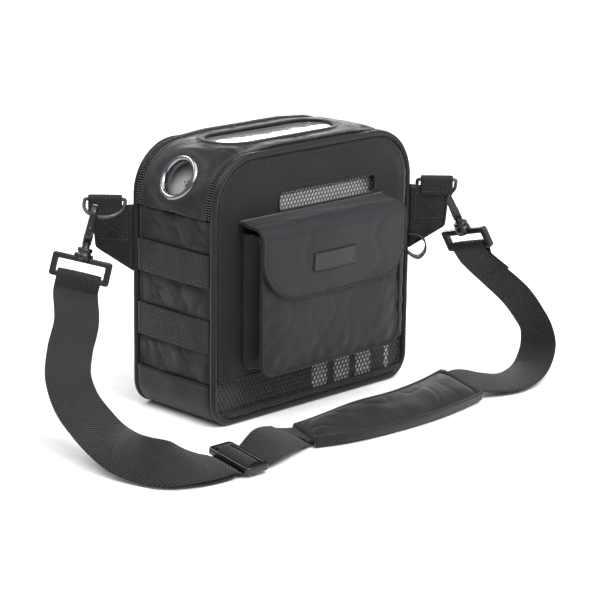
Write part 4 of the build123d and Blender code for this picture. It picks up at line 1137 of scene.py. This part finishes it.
def pocket_gusset():
    """Bellows gusset: one fold that dives inwards between the bag and the pocket front."""
    line = pocket_path(0.8, 0)
    count, steps = len(line), 13
    ahead = np.gradient(line, axis=0)
    ahead /= np.linalg.norm(ahead, axis=1, keepdims=True)
    inward = np.stack([-ahead[:, 2], ahead[:, 0] * 0, ahead[:, 0]], 1)
    if inward[0, 0] < 0:
        inward = -inward
    run = np.concatenate([[0], np.cumsum(np.linalg.norm(np.diff(line, axis=0), axis=1))])
    points, uvs = [], []
    for k in range(count):
        sideways = abs(inward[k, 0])
        dive = 2.5 + 12.5 * sideways * ease((172 - line[k, 2]) / 20)
        for j in range(steps):
            w = j / (steps - 1)
            fold = dive * (1 - abs(2 * w - 1) ** 0.9)
            ripple = 0.5 * math.sin(run[k] / 9 + 3 * w) * math.sin(math.pi * w)
            points.append((line[k, 0] + inward[k, 0] * (fold + ripple), -52.4 - 24.8 * w,
                           line[k, 2] + inward[k, 2] * (fold + ripple)))
            uvs.append((run[k], 25 * w))
    faces = [(k * steps + j, (k + 1) * steps + j, (k + 1) * steps + j + 1, k * steps + j + 1)
             for k in range(count - 1) for j in range(steps - 1)]
    return piece_from("pocket_gusset_cloth", points, faces, uvs)


gusset = pocket_gusset()
# The gusset takes the darker side cloth, not the pocket's own cloth, for the shade it lies in: painted
# shade.
finish(gusset, "bag", SIDE_NYLON, ["pocket_gusset"], solid=1.3, side=0)
finish(cut_sheet("pocket_closure_strip", (-40, 30), (114, 138), 3.0, lambda x,
                 z: box_gap(x, z, (-40, 30, 114, 138), 3.0),
                 lambda x, z: pocket_place(x, z) + [0, -0.9, 0]), "bag", EDGE_TAPE,
       ["pocket_closure"], solid=0.7)

# ---- flap --------------------------------------------------------------------------------------

FLAP_SECTION = evened(rounded([(0, -52.3, 178.9), (0, -84.0, 176.4), (0, -82.6, 110.8)], [0, 13.0, 0],
                              step=0.4), 0.8)
FLAP_S = np.concatenate([[0], np.cumsum(np.linalg.norm(np.diff(FLAP_SECTION, axis=0), axis=1))])
FLAP_LONG = float(FLAP_S[-1])


FLAP_LEFT_CORNER, FLAP_RIGHT_CORNER = 42.0, 31.0


def flap_gap(x, w):
    return box_gap(x, w, (FLAP_X[0], FLAP_X[1], -80, FLAP_LONG),
                   np.where(x < 0, FLAP_LEFT_CORNER, FLAP_RIGHT_CORNER))


def flap_place(x, w, out=0.0):
    """Flap: over the top of the pocket, round the fold and down its front, softly waved."""
    w_in = np.clip(w, 0, FLAP_LONG)
    y = np.interp(w_in, FLAP_S, FLAP_SECTION[:, 1])
    z = np.interp(w_in, FLAP_S, FLAP_SECTION[:, 2])
    slope_y, slope_z = (np.interp(w_in + 0.4, FLAP_S, FLAP_SECTION[:, k]) - np.interp(w_in - 0.4, FLAP_S,
                                                                                      FLAP_SECTION[:, k])
                        for k in (1, 2))
    length = np.maximum(np.hypot(slope_y, slope_z), 1e-6)
    normal_y, normal_z = slope_z / length, -slope_y / length
    loose = ease(w_in / 12)
    across = (x - (FLAP_X[0] + FLAP_X[1]) / 2) / 87
    crown = 1.5 * (1 - across ** 2) * np.sin(np.clip((w_in - 30) / (FLAP_LONG - 30), 0,
                                                     1) * math.pi) - 1.2 * across ** 4
    wave = 0.8 * swell(x, w_in * 0.6, 85, 83) - 0.7 * creases(x * 0.5, w_in, 70, 85, 0.14)
    rise = loose * (crown + 0.6 * wave) + out
    return np.stack([x, y + normal_y * rise, z + normal_z * rise], 1)


def over_fold(piece):
    """Applies a flap piece's modifiers and bakes its place into its points."""
    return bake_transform(flattened(piece))


flap = cut_sheet("flap_cloth", FLAP_X, (0, FLAP_LONG), 2.2, lambda x, w: np.maximum(flap_gap(x, w), -w),
                 flap_place)
if sum((p.normal.y * p.area for p in flap.data.polygons), 0.0) > 0:
    flap.data.flip_normals()
over_fold(finish(flap, None, FLAP_NYLON, ["flap_top", "flap_front"], solid=1.9))


def flap_edge(inset):
    """Line in the flap's own measure: down its left edge, round the corners and up its right edge."""
    first, second = FLAP_LEFT_CORNER - inset, FLAP_RIGHT_CORNER - inset
    corners = [(FLAP_X[0] + inset, 1.0, 0), (FLAP_X[0] + inset, FLAP_LONG - inset, 0),
               (FLAP_X[1] - inset, FLAP_LONG - inset, 0), (FLAP_X[1] - inset, 1.0, 0)]
    return evened(rounded(corners, [0, first, second, 0]), 2.0)


hem = flap_edge(0.4)
hem_line = flap_place(hem[:, 0], hem[:, 1], -0.9)
over_fold(finish(swept("flap_binding", hem_line, flap_place(hem[:, 0], hem[:, 1], 1.0) - hem_line,
                       ring_profile(1.55, 10, 1.1)),
                 None, EDGE_TAPE))
inner = flap_edge(5.0)[4:-4]
over_fold(stitches("flap_stitches", [flap_place(inner[:, 0], inner[:, 1], 0.1)], None))
stitches("flap_seam_stitches", [flap_place(np.linspace(-88, 78, 80), np.full(80, 7.0), -0.2)], "flap_top")
finish(cut_sheet("flap_closure_strip", (-40, 30), (116, 136), 3.0, lambda x,
                 z: box_gap(x, z, (-40, 30, 116, 136), 3.0),
                 lambda x, z: np.stack([x, -80.6 + 0 * x, z], 1)), "flap_front", EDGE_TAPE,
       ["flap_closure"], solid=0.7)
LABEL_BOX = (-35.5, 15.5, FLAP_LONG - 37.2, FLAP_LONG - 20.2)
label = cut_sheet("label_plate", LABEL_BOX[:2], LABEL_BOX[2:], 1.3, lambda x,
                  w: box_gap(x, w, LABEL_BOX, 1.5),
                  lambda x,
                  w: flap_place(x, w, 0.9 + 0.5 * ease((-box_gap(x, w, LABEL_BOX, 1.5) - 0.2) / 1.0)
                                          - 0.35 * ease((-box_gap(x, w, LABEL_BOX, 1.5) - 1.8) / 0.8)))
if sum((p.normal.y * p.area for p in label.data.polygons), 0.0) > 0:
    label.data.flip_normals()
finish(label, "flap_front", LABEL, ["label_patch"], solid=0.9)

# ---- strap wings, loops and rings --------------------------------------------------------------

DIAGONAL = math.sqrt(0.5)
RING_BAR_Z, RING_MIDDLE, RING_HALF, RING_LOW, RING_DEPTH = 184.5, 27.0, 17.5, 8.0, 26.0
RING_TILT = {LEFT: math.radians(66), RIGHT: math.radians(40)}
HOOK_U = {LEFT: 35.5, RIGHT: 38.0}
RIM_CLEARANCE = 9.8
HOOK_LEAN = {LEFT: (-0.2115, 0.2542, 0.943), RIGHT: (-0.42, 0.1, 0.9)}
FRAME_WIDE = {LEFT: (0.981, 0.053, 0.189), RIGHT: (0.698, 0.668, 0.253)}
SIDE_NAME = {LEFT: "left", RIGHT: "right"}


def out_of(side):
    return Vector((side * DIAGONAL, -side * DIAGONAL, 0))


def across(side):
    return Vector((-side * DIAGONAL, -side * DIAGONAL, 0))


def wing_point(side, u, n, z):
    """Point u out along a side's wing, n off its face and z up."""
    return Vector((side * SEAM_X, -side * PIPING_Y,
                   0)) + out_of(side) * u + across(side) * n + Vector((0, 0, z))


def ring_point(side, u, s):
    """Point on a hanging ring's plane, s below its bar."""
    return wing_point(side, u, -s * math.sin(RING_TILT[side]), RING_BAR_Z - s * math.cos(RING_TILT[side]))


def hook_axis(side):
    u, n, z = HOOK_LEAN[side]
    return (out_of(side) * u + across(side) * n + Vector((0, 0, z))).normalized()


RIM_RADIUS = (RING_HALF ** 2 + (RING_DEPTH - RING_LOW) ** 2) / (2 * (RING_DEPTH - RING_LOW))


def rim_depth(u):
    """How far below its bar a ring's rim lies at u."""
    return RING_DEPTH - RIM_RADIUS + math.sqrt(RIM_RADIUS ** 2 - (u - RING_MIDDLE) ** 2)


def hook_tip(side):
    return ring_point(side, HOOK_U[side], rim_depth(HOOK_U[side])) + hook_axis(side) * RIM_CLEARANCE


def frame_wide(side):
    u, n, z = FRAME_WIDE[side]
    wide = out_of(side) * u + across(side) * n + Vector((0, 0, z))
    return (wide - hook_axis(side) * wide.dot(hook_axis(side))).normalized()


WING_CORNERS = [(2.4, 122.0), (2.4, 179.0), (37.0, 175.0), (34.0, 143.0)]


def wing_gap(u, z):
    """Signed distance outside the wing's outline, with its corners rounded."""
    distance = np.full(np.shape(u), -1e3)
    for (u0, z0), (u1, z1) in zip(WING_CORNERS, WING_CORNERS[1:] + WING_CORNERS[:1]):
        length = math.hypot(u1 - u0, z1 - z0)
        outside = (-(z1 - z0) * (u - u0) + (u1 - u0) * (z - z0)) / length
        distance = np.maximum(distance, outside)
    return distance


def wing_places(side, u, z, n):
    base = np.array(wing_point(side, 0, 0, 0))
    return base + np.outer(u, out_of(side)) + np.outer(n, across(side)) + np.outer(z, (0, 0, 1))


def loop_ribbon(name, line, side, u, width):
    """Webbing folded over a bar: line gives (n, z) in the plane square to the wing."""
    centres = [wing_point(side, u, n, z) for n, z in line]
    return swept(name, centres, [out_of(side)] * len(centres), web_profile(width, 1.5), uv_across=True)


for side in (LEFT, RIGHT):
    tag = SIDE_NAME[side]
    wing = cut_sheet(f"wing_cloth_{tag}", (1, 38), (121, 180), 1.8, wing_gap,
                     lambda u, z: wing_places(side, u, z, 0.5 * swell(u, z, 26, 90 + side)))
    finish(wing, "bag", SIDE_NYLON, ["strap_wings"], solid=3.6, side=0)
    rim = [wing_point(side, u, 0, z) for u, z in
           [(p[0],
             p[1]) for p in evened(rounded([(2.4, 122.6, 0), (34.2, 143, 0), (37, 174.8, 0),
                                            (2.4, 178.6, 0)],
                                                 [0, 3, 3, 0]), 2.0)]]
    finish(swept(f"wing_binding_{tag}", rim, [across(side)] * len(rim), ring_profile(2.35, 10, 0.75)),
           "bag", EDGE_TAPE)
    bend = [(3.25 * math.cos(t), RING_BAR_Z + 3.25 * math.sin(t)) for t in np.linspace(0.15, math.pi - 0.15,
                                                                                       13)]
    line = ([(3.0, z) for z in np.linspace(171, 183, 7)] + bend + [(-3.0, z) for z in np.linspace(183, 171,
                                                                                                  7)])
    finish(loop_ribbon(f"ring_loop_{tag}", line, side, RING_MIDDLE, 29.0), "bag", STRAP_WEB,
           ["ring_loops"])
    rows = []
    for n in (2.15, -2.15):
        rows.append([wing_point(side, u, n, z) for u,
                     z in [(8, 149), (33, 150), (35.5, 171), (8, 172.5), (8, 149)]])
        rows.append([wing_point(side, 8.5, n, 149.5), wing_point(side, 35, n, 170.5)])
        rows.append([wing_point(side, 32.5, n, 150.5), wing_point(side, 8.5, n, 172)])
        rows.append([wing_point(side, 5.2, n, 126.5), wing_point(side, 5.2, n, 176)])
    for n in (4.0, -4.0):
        rows.append([wing_point(side, 14.5, n, 174), wing_point(side, 39.5, n, 174)])
    stitches(f"wing_stitches_{tag}", rows, "bag")
    down = (ring_point(side, RING_MIDDLE, 1) - ring_point(side, RING_MIDDLE, 0)).normalized()
    arc = [(RING_HALF * math.cos(t),
            rim_depth(RING_MIDDLE + RING_HALF * math.cos(t))) for t in np.linspace(0, math.pi, 28)]
    outline = rounded([(-RING_HALF, RING_LOW, 0), (-RING_HALF, 0, 0), (RING_HALF, 0, 0),
                       (RING_HALF, RING_LOW, 0)],
                      [0, 2.2, 2.2, 0]) + [Vector((x, y, 0)) for x, y in arc[1:-1]]
    centres = evened([ring_point(side, RING_MIDDLE, 0) + out_of(side) * p.x + down * p.y for p in outline],
                     1.2, closed=True)
    finish(swept(f"ring_{tag}_wire", centres, [out_of(side).cross(down)] * len(centres),
                 ring_profile(1.7, 12), closed=True),
           f"{tag}_ring", GUNMETAL, [f"{tag}_ring"])

# A small loop of thin webbing hangs from the front-right seam, under the wing.
hanging = evened([(p[0], p[1],
                   0) for p in curved([(2.6, 134, 0), (11, 133.5, 0), (17.6, 127.5, 0), (18.2, 119, 0),
                                       (13, 112.6, 0),
                                                  (7.5, 113.4, 0), (2.6, 117, 0)], 1.0)], 1.2)
finish(swept("side_loop_right", [wing_point(RIGHT, p[0], 0, p[1]) for p in hanging],
             [across(RIGHT)] * len(hanging),
             web_profile(13, 1.4), uv_across=True), "bag", STRAP_WEB)

# ---- swivel hooks ------------------------------------------------------------------------------


def hook_space(side):
    """Origin, sideways, upwards and face directions of a hook's arch."""
    axis = hook_axis(side)
    flat = (across(side) - axis * across(side).dot(axis)).normalized()
    return hook_tip(side), flat, axis, flat.cross(axis)


def flat_box(x, y, half_x, half_y, radius):
    """Closed outline of a rounded rectangle in a plate's plane."""
    corners = [(x - half_x, y - half_y, 0), (x + half_x, y - half_y, 0), (x + half_x, y + half_y, 0),
               (x - half_x, y + half_y, 0)]
    return [(p[0], p[1]) for p in rounded(corners, [radius] * 4, step=0.8, closed=True)]


for side in (LEFT, RIGHT):
    tag = SIDE_NAME[side]
    origin, flat, up, face = hook_space(side)

    def at(x, y, n=0.0):
        return origin + flat * x + up * y + face * n

    arch_line = [(-6.9, -10.2), (-6.4, -6.6), (-3.9, -3.4), (0, -2.1), (4.1, -3.5), (6.8, -7.0), (7.1, -11),
                 (7.0, -20),
                 (6.6, -25.5), (4.6, -30.0), (1.6, -32.6), (0, -34.5)]
    widths = (0.62, 0.66, 0.7, 0.74, 0.8, 0.88, 0.95, 1.05, 1.12, 1.15, 1.15, 1.15)
    body_line = curved([(x, y, 0, w) for (x, y), w in zip(arch_line, widths)], 0.9)
    hook = swept(f"hook_arch_{tag}", [at(p[0], p[1]) for p in body_line], [face] * len(body_line),
                 bar_profile(3.4, 2.0, 1.1),
                 scales=np.stack([body_line[:, 3], 1 + 0 * body_line[:, 3]], 1))
    heel_line = curved([(0.4, -32.8, 0), (-3.6, -30.9, 0), (-6.4, -28.6, 0), (-7.0, -26.9, 0)], 0.7)
    heel = swept(f"hook_heel_{tag}", [at(p[0], p[1]) for p in heel_line], [face] * len(heel_line),
                 bar_profile(3.6, 2.0, 1.1))
    stem = turned(f"hook_stem_{tag}",
                  [(0.01, -32), (3.2, -32), (3.4, -33.4), (3.4, -45.8), (4.6, -46.2), (4.6, -47.3),
                   (0.01, -47.4)],
                  origin, up, 32)
    finish(joined(f"hook_{tag}_body", [hook, heel, stem]), f"{tag}_hook", ACETAL,
           [f"{tag}_hook"])
    lever_line = curved([(-6.8, -26.4, 0), (-6.6, -22, 0), (-6.4, -16, 0), (-6.3, -10.4, 0)], 0.8)
    lever = swept(f"gate_lever_{tag}", [at(p[0], p[1]) for p in lever_line], [face] * len(lever_line),
                  bar_profile(2.3, 1.5, 0.7))
    thumb = swept(f"gate_thumb_{tag}", [at(-7.0, -21.5), at(-8.4, -21.3), at(-9.1, -21.2)], [face] * 3,
                  bar_profile(2.2, 1.6, 0.7),
                  scales=[1.0, 0.95, 0.6])
    finish(joined(f"gate_{tag}_lever", [lever, thumb]), f"{tag}_gate", ACETAL,
           [f"{tag}_gate"])
    wide = frame_wide(side)
    collar_outline = [(3.6, -38.4), (5.6, -38.2), (6.5, -39.0), (6.6, -41.4), (5.7, -42.0), (5.7, -43.0),
                      (6.9, -43.6), (7.0, -47.4),
                      (6.2, -48.0), (6.4, -50.4), (3.6, -50.4)]
    collar = turned(f"collar_{tag}", collar_outline, origin, up, 40)
    hub = plate(f"frame_hub_{tag}",
                [[(x, y) for x, y in ((-13, -50.5), (-12, -47), (-8.5, -46.5), (-8, -43.5), (8, -43.5),
                                                         (8.5, -46.5), (12, -47), (13, -50.5))],
                                     flat_box(-8.6, -47.9, 1.6, 1.3, 0.8),
                 flat_box(8.6, -47.9, 1.6, 1.3, 0.8)],
                origin, wide, wide.cross(up), 3.6, 0.4)
    loop = plate(f"frame_loop_{tag}",
                 [flat_box(0, -56.5, 26, 10.4, 2.6), flat_box(0, -56.6, 20.6, 5.5, 1.0)], origin, wide,
                 wide.cross(up), 5.6, 0.9)
    finish(joined(f"frame_{tag}_loop", [collar, hub, loop]), "bag", ACETAL, ["hook_frames"])

# ---- shoulder strap ----------------------------------------------------------------------------
# Each stretch is a list of stations: the middle of the webbing, and its across direction.

LEFT_ROUTE = [
    ((-198, 35, 94), (0.7, -0.7, -0.1)), ((-217.5, 20.5, 76), (0.7, -0.7, 0.0)),
    ((-235, 2, 60), (0.75, -0.65, 0.15)),
    ((-243, -18, 45), (0.87, -0.4, 0.3)), ((-247, -41, 34), (0.88, -0.38, 0.36)),
    ((-251, -66, 26), (0.85, -0.3, 0.45)),
    ((-254, -90, 21.5), (0.6, -0.2, 0.78)), ((-252, -112, 20), (0.4, 0.0, 0.91)),
    ((-242, -128, 19), (0.45, 0.4, 0.79)),
    ((-225, -135, 15.5), (0.35, 0.78, 0.5)), ((-204, -137, 11), (0.15, 0.95, 0.25)),
    ((-190, -137, 8.6), (0.03, 0.99, 0.12)),
]
MIDDLE_ROUTE = [
    ((-147, -137, 10.4), (-0.05, 0.96, 0.24)), ((-133, -134.5, 13.5), (-0.2, 0.9, 0.36)),
    ((-117, -129.5, 12.5), (-0.22, 0.92, 0.32)),
    ((-103, -124.5, 9.5), (-0.1, 0.97, 0.22)), ((-94, -119.5, 6.6), (0.2, 0.97, 0.06)),
    ((-86.5, -120.9, 6), (0.45, 0.89, 0.0)),
    ((-76, -125.0, 7.0), (0.52, 0.85, 0.06)),
]
PAD_ROUTE = [
    ((-84, -122, 6.2), (0.62, 0.78, 0.02)), ((-55, -133, 9.5), (0.4, 0.9, 0.13)),
    ((-16, -139, 11.8), (0.1, 0.96, 0.25)),
    ((30, -141, 12), (0.0, 0.965, 0.25)), ((72, -138, 12.6), (-0.05, 0.96, 0.28)),
    ((106, -133, 13.8), (-0.1, 0.94, 0.33)),
]
RIGHT_ROUTE = [
    ((97, -134.6, 13.5), (-0.1, 0.94, 0.32)), ((109, -132.5, 13.9), (-0.15, 0.94, 0.33)),
    ((119, -131.6, 13.3), (-0.1, 0.94, 0.33)), ((133, -137, 10), (0.15, 0.95, 0.25)),
    ((155, -143, 7), (0.15, 0.98, 0.15)), ((182, -140, 7), (-0.1, 0.99, 0.05)),
    ((206, -132.5, 13), (-0.15, 0.98, -0.05)),
    ((219, -127, 27), (-0.1, 0.99, -0.05)), ((219, -124, 42), (-0.05, 0.99, -0.1)),
    ((214, -117, 57), (-0.08, 0.97, -0.18)),
    ((205, -109, 73), (-0.13, 0.96, -0.22)), ((192.5, -97, 89), (-0.12, 0.96, -0.23)),
]


def framed(route):
    """Stations with their along, across and face directions."""
    points = [Vector(p) for p, _ in route]
    rows = []
    for k, (_, across_dir) in enumerate(route):
        along = (points[min(k + 1, len(points) - 1)] - points[max(k - 1, 0)]).normalized()
        wide = Vector(across_dir)
        wide = (wide - along * wide.dot(along)).normalized()
        rows.append((points[k], wide, along.cross(wide)))
    return rows


def wrapped(side, first_sign):
    """Stations of webbing that passes round a strap frame's lower bar, from one face to the other."""
    wide, up = frame_wide(side), hook_axis(side)
    normal = wide.cross(up)
    shape = [(-76.0, 1.7), (-70.5, 2.6), (-66.5, 3.5), (-63.6, 3.9), (-60.9, 2.7), (-59.9, 0.0),
             (-60.9, -2.7), (-63.6, -3.9),
             (-66.5, -3.5), (-70.5, -2.6), (-76.0, -1.7)]
    return [(hook_tip(side) + up * a + normal * b * first_sign, wide) for a, b in shape]


def webbing(name, stations, body, nodes, width=WEB_WIDTH, thick=1.5, crown=0.4):
    """Webbing swept along stations of (middle, across)."""
    rows = curved([(*p, *w) for p, w in stations], 2.2)
    piece = swept(name, rows[:, :3], rows[:, 3:6], web_profile(width, thick, crown), uv_across=True)
    finish(piece, body, STRAP_WEB, nodes)


left_rows = framed(LEFT_ROUTE)
turn = wrapped(LEFT, 1)
outer_first = (turn[0][0] - turn[-1][0]).dot(left_rows[0][2]) > 0
if not outer_first:
    turn = turn[::-1]
way = -1 if frame_wide(LEFT).dot(left_rows[0][1]) < 0 else 1
outer = [(p, w) for p, w, n in left_rows]
under = [(p - n * 3.9, w) for p, w, n in left_rows[:-1]]
end_p, end_w, end_n = left_rows[-1]
under.append((end_p - end_n * 3.0, end_w))
glide_along, glide_wide = Vector((1, 0, 0)), Vector((0.03, 0.985, 0.135)).normalized()
glide_face = glide_along.cross(glide_wide).normalized()
glide_middle = Vector((-172, -137, 9.5))
through = [(glide_middle + glide_along * a + glide_face * b, glide_wide) for a, b in
           ((-14.5, -3.2), (-10.6, -3.7), (-7.8, -2.3), (-4.6, 2.3), (-2.0, 3.7), (2.0, 3.7), (4.6, 2.3),
            (7.8, -2.3), (10.6, -3.7),
            (14.5, -3.2))]
strap = under[::-1] + [(p, w * way) for p,
                       w in turn[::-1]] + outer + through + [(Vector(p), Vector(w)) for p, w in MIDDLE_ROUTE]
webbing("strap_left_webbing", strap, "bag", ["strap_left_outer", "strap_left_inner", "strap_middle"])

right_rows = framed(RIGHT_ROUTE)
right_turn = wrapped(RIGHT, 1)
if (right_turn[0][0] - right_turn[-1][0]).dot(right_rows[-1][2]) < 0:
    right_turn = right_turn[::-1]
right_way = -1 if frame_wide(RIGHT).dot(right_rows[-1][1]) < 0 else 1
tail = [(p - n * 2.2, w) for p, w, n in right_rows[-1:]]
strap = [(p, w) for p, w, n in right_rows] + [(p, w * right_way) for p, w in right_turn] + tail[::-1]
webbing("strap_right_webbing", strap, "bag", ["strap_right"])
end_p, end_w, end_n = right_rows[-1]
end_along = end_w.cross(end_n)
rows = [[end_p + end_w * k + end_along * shift + end_n * 1.3 for k in np.linspace(-16, 16,
                                                                                  12)] for shift in (-6, 6)]
stitches("strap_stitches", rows, "bag")


# ---- glide and shoulder pad --------------------------------------------------------------------


finish(plate("glide_plate",
             [flat_box(0, 0, 25, 12.5, 4), flat_box(0, 5.8, 20, 3, 1.5), flat_box(0, -5.8, 20, 3, 1.5)],
             glide_middle, glide_wide, glide_face, 6.2, 1.6), "bag", ACETAL, ["tri_glide"])

PAD_HALF, PAD_HIGH = 23.2, 6.0
pad_rows = curved([(*p, *w) for p, w in PAD_ROUTE], 2.6)
PAD_RUN = np.concatenate([[0], np.cumsum(np.linalg.norm(np.diff(pad_rows[:, :3], axis=0), axis=1))])
PAD_LONG = float(PAD_RUN[-1])


def pad_place(run, over, height):
    """Points on the pad: run along it, over across it, height above its middle."""
    run = np.clip(run, 0, PAD_LONG)
    centre = np.stack([np.interp(run, PAD_RUN, pad_rows[:, k]) for k in range(3)], 1)
    ahead = np.stack([np.interp(run + 1.5, PAD_RUN, pad_rows[:, k]) - np.interp(run - 1.5, PAD_RUN,
                                                                                pad_rows[:, k])
                      for k in range(3)], 1)
    ahead /= np.linalg.norm(ahead, axis=1, keepdims=True)
    wide = np.stack([np.interp(run, PAD_RUN, pad_rows[:, k]) for k in range(3, 6)], 1)
    wide -= ahead * np.sum(wide * ahead, 1, keepdims=True)
    wide /= np.linalg.norm(wide, axis=1, keepdims=True)
    return centre + wide * over[:, None] + np.cross(ahead, wide) * height[:, None]


def cushion(name, high, low, seed, ends):
    """Closed cushion: crowned above, flatter below, drawn in to its seams all round."""
    columns, across_count = len(pad_rows), 21
    run, turn = np.meshgrid(PAD_RUN, np.linspace(-1, 1, across_count), indexing="ij")
    run, turn = run.ravel(), turn.ravel()
    end = ease(np.minimum(run, PAD_LONG - run) / ends + 0.12)
    full = (1 - np.abs(turn) ** 3.0) * end
    dents = 0.9 * swell(run, turn * 12, 34, seed) - 1.1 * creases(run, turn * 12, 36, seed + 2, 0.16)
    upper = pad_place(run, turn * PAD_HALF, 0.5 + full * (high + dents))
    lower = pad_place(run, turn * PAD_HALF, -0.5 - full * low)
    n = columns * across_count
    faces = []
    for i in range(columns - 1):
        for j in range(across_count - 1):
            a, b, c, d = (i * across_count + j, (i + 1) * across_count + j, (i + 1) * across_count + j + 1,
                          i * across_count + j + 1)
            faces += [(a, b, c, d), (n + d, n + c, n + b, n + a)]
        for j in (0, across_count - 1):
            a, b = i * across_count + j, (i + 1) * across_count + j
            faces.append((a, n + a, n + b, b) if j == 0 else (b, n + b, n + a, a))
    for i in (0, columns - 1):
        for j in range(across_count - 1):
            a, b = i * across_count + j, i * across_count + j + 1
            faces.append((b, n + b, n + a, a) if i == 0 else (a, n + a, n + b, b))
    uvs = np.concatenate([np.stack([run, turn * PAD_HALF], 1), np.stack([run, turn * PAD_HALF + 60], 1)])
    piece = piece_from(name, np.concatenate([upper, lower]), faces, uvs)
    outward(piece)
    return piece


pad = cushion("pad_cushion", PAD_HIGH, 3.6, 97, 16.0)
finish(pad, "bag", PAD_NYLON, ["shoulder_pad"], levels=1)
for sign, tag, tall, tape in ((-1, "near", 4.4, BAND_WEB), (1, "far", 1.7, EDGE_TAPE)):
    run = np.linspace(2, PAD_LONG - 1, 90)
    edge = pad_place(run, 0 * run + sign * (PAD_HALF - 0.6), 0 * run + 0.2)
    rise = pad_place(run, 0 * run + sign * (PAD_HALF - 0.6), 0 * run + 4) - edge
    finish(swept(f"pad_binding_{tag}", edge, rise, bar_profile(tall, 1.7, 1.3), uv_across=True), "bag", tape)
    line = pad_place(run, 0 * run + sign * (PAD_HALF - 4.2), 0 * run + 3.6)
    stitches(f"pad_stitches_{tag}", [line], "bag")
for run_at, tag in ((3.5, "left"), (PAD_LONG - 3.0, "right")):
    over = np.linspace(-PAD_HALF + 1.5, PAD_HALF - 1.5, 30)
    ridge = pad_place(np.full(30, run_at), over, 0.6 + 1.6 * (1 - (np.abs(over) / PAD_HALF) ** 3))
    back_step = pad_place(np.full(30, run_at + 3.0), over, 1.0 + 1.6 * (1 - (np.abs(over) / PAD_HALF) ** 3))
    finish(swept(f"pad_hem_{tag}", ridge, back_step - ridge, bar_profile(3.0, 1.5, 1.2)), "bag", EDGE_TAPE)

# ---- the concentrator, from its own solids -----------------------------------------------------

FINISHES = {
    "housing": HOUSING, "panel_grey": PANEL_GREY, "button": KEY_RUBBER, "outlet": OUTLET_PLASTIC,
    "steel": STEEL,
    "aluminium": ALUMINIUM, "filter_foam": FOAM, "battery": BATTERY_CASE, "board": BOARD,
    "zip_metal": ENAMEL,
}
slots = {entry["node"]: entry["material_slot"] for entry in frame["record"]["subparts"]}
for name, node in frame["nodes"].items():
    if slots[name] in FINISHES:
        node.data.materials.clear()
        node.data.materials.append(FINISHES[slots[name]])

# ---- floor, light and camera -------------------------------------------------------------------


def daylight():
    """Even, pale surroundings."""
    world = bpy.data.worlds.new("studio")
    world.use_nodes = True
    world.node_tree.nodes["Background"].inputs[0].default_value = linear("#f4f5f6")
    world.node_tree.nodes["Background"].inputs[1].default_value = 0.38
    bpy.context.scene.world = world


def softbox(name, place, target, size, power, colour="#ffffff"):
    light = bpy.data.lights.new(name, "AREA")
    light.shape, light.size, light.size_y = "RECTANGLE", size[0], size[1]
    light.energy, light.color = power, linear(colour)[:3]
    lamp = bpy.data.objects.new(name, light)
    bpy.context.scene.collection.objects.link(lamp)
    lamp.location = place
    lamp.rotation_euler = (Vector(target) - Vector(place)).to_track_quat("-Z", "Y").to_euler()


daylight()
softbox("key", (-0.2, -1.6, 1.9), (0, 0, 0.12), (0.9, 0.9), 34)
softbox("fill", (1.5, -1.2, 0.9), (0, 0, 0.1), (1.0, 1.0), 6)
softbox("rim", (-0.8, 1.3, 1.6), (0, 0, 0.15), (1.0, 0.6), 18)
# A low panel behind the bag that the clear window mirrors.
softbox("window glint", (1.036, 1.01, 0.64), (0, 0, 0.23), (0.9, 0.22), 8)
sky = bpy.data.lights.new("overhead", "SUN")
sky.energy, sky.angle = 3.0, math.radians(75)
overhead = bpy.data.objects.new("overhead", sky)
overhead.rotation_euler = Vector((0.25, 0.6, -1.2)).to_track_quat("-Z", "Y").to_euler()
bpy.context.scene.collection.objects.link(overhead)

floor_mesh = bpy.data.meshes.new("studio_floor")
floor_mesh.from_pydata([(-6, -6, 0), (6, -6, 0), (6, 6, 0), (-6, 6, 0)], [], [(0, 1, 2, 3)])
floor = bpy.data.objects.new("studio_floor", floor_mesh)
bpy.context.scene.collection.objects.link(floor)
floor_mesh.materials.append(plain("white paper", "#f2f2f2", 0.8, grain=4.0, relief=0.02))

camera_data = bpy.data.cameras.new("camera")
camera_data.lens, camera_data.sensor_width = 138.0, 36.0
camera_data.clip_end = 50
camera = bpy.data.objects.new("camera", camera_data)
bpy.context.scene.collection.objects.link(camera)
azimuth, elevation, roll = math.radians(-45.11), math.radians(15.13), math.radians(0.80)
backward = Vector((math.sin(azimuth) * math.cos(elevation), -math.cos(azimuth) * math.cos(elevation),
                   math.sin(elevation)))
rightward = Vector((math.cos(azimuth), math.sin(azimuth), 0))
upward = backward.cross(rightward)
camera_x = rightward * math.cos(roll) + upward * math.sin(roll)
camera_y = -rightward * math.sin(roll) + upward * math.cos(roll)
turned_to = Matrix((camera_x, camera_y, backward)).transposed().to_4x4()
turned_to.translation = Vector((-1.3873, -1.4152, 0.6193))
camera.matrix_world = turned_to
bpy.context.scene.camera = camera
bpy.context.scene.view_settings.view_transform = "Standard"
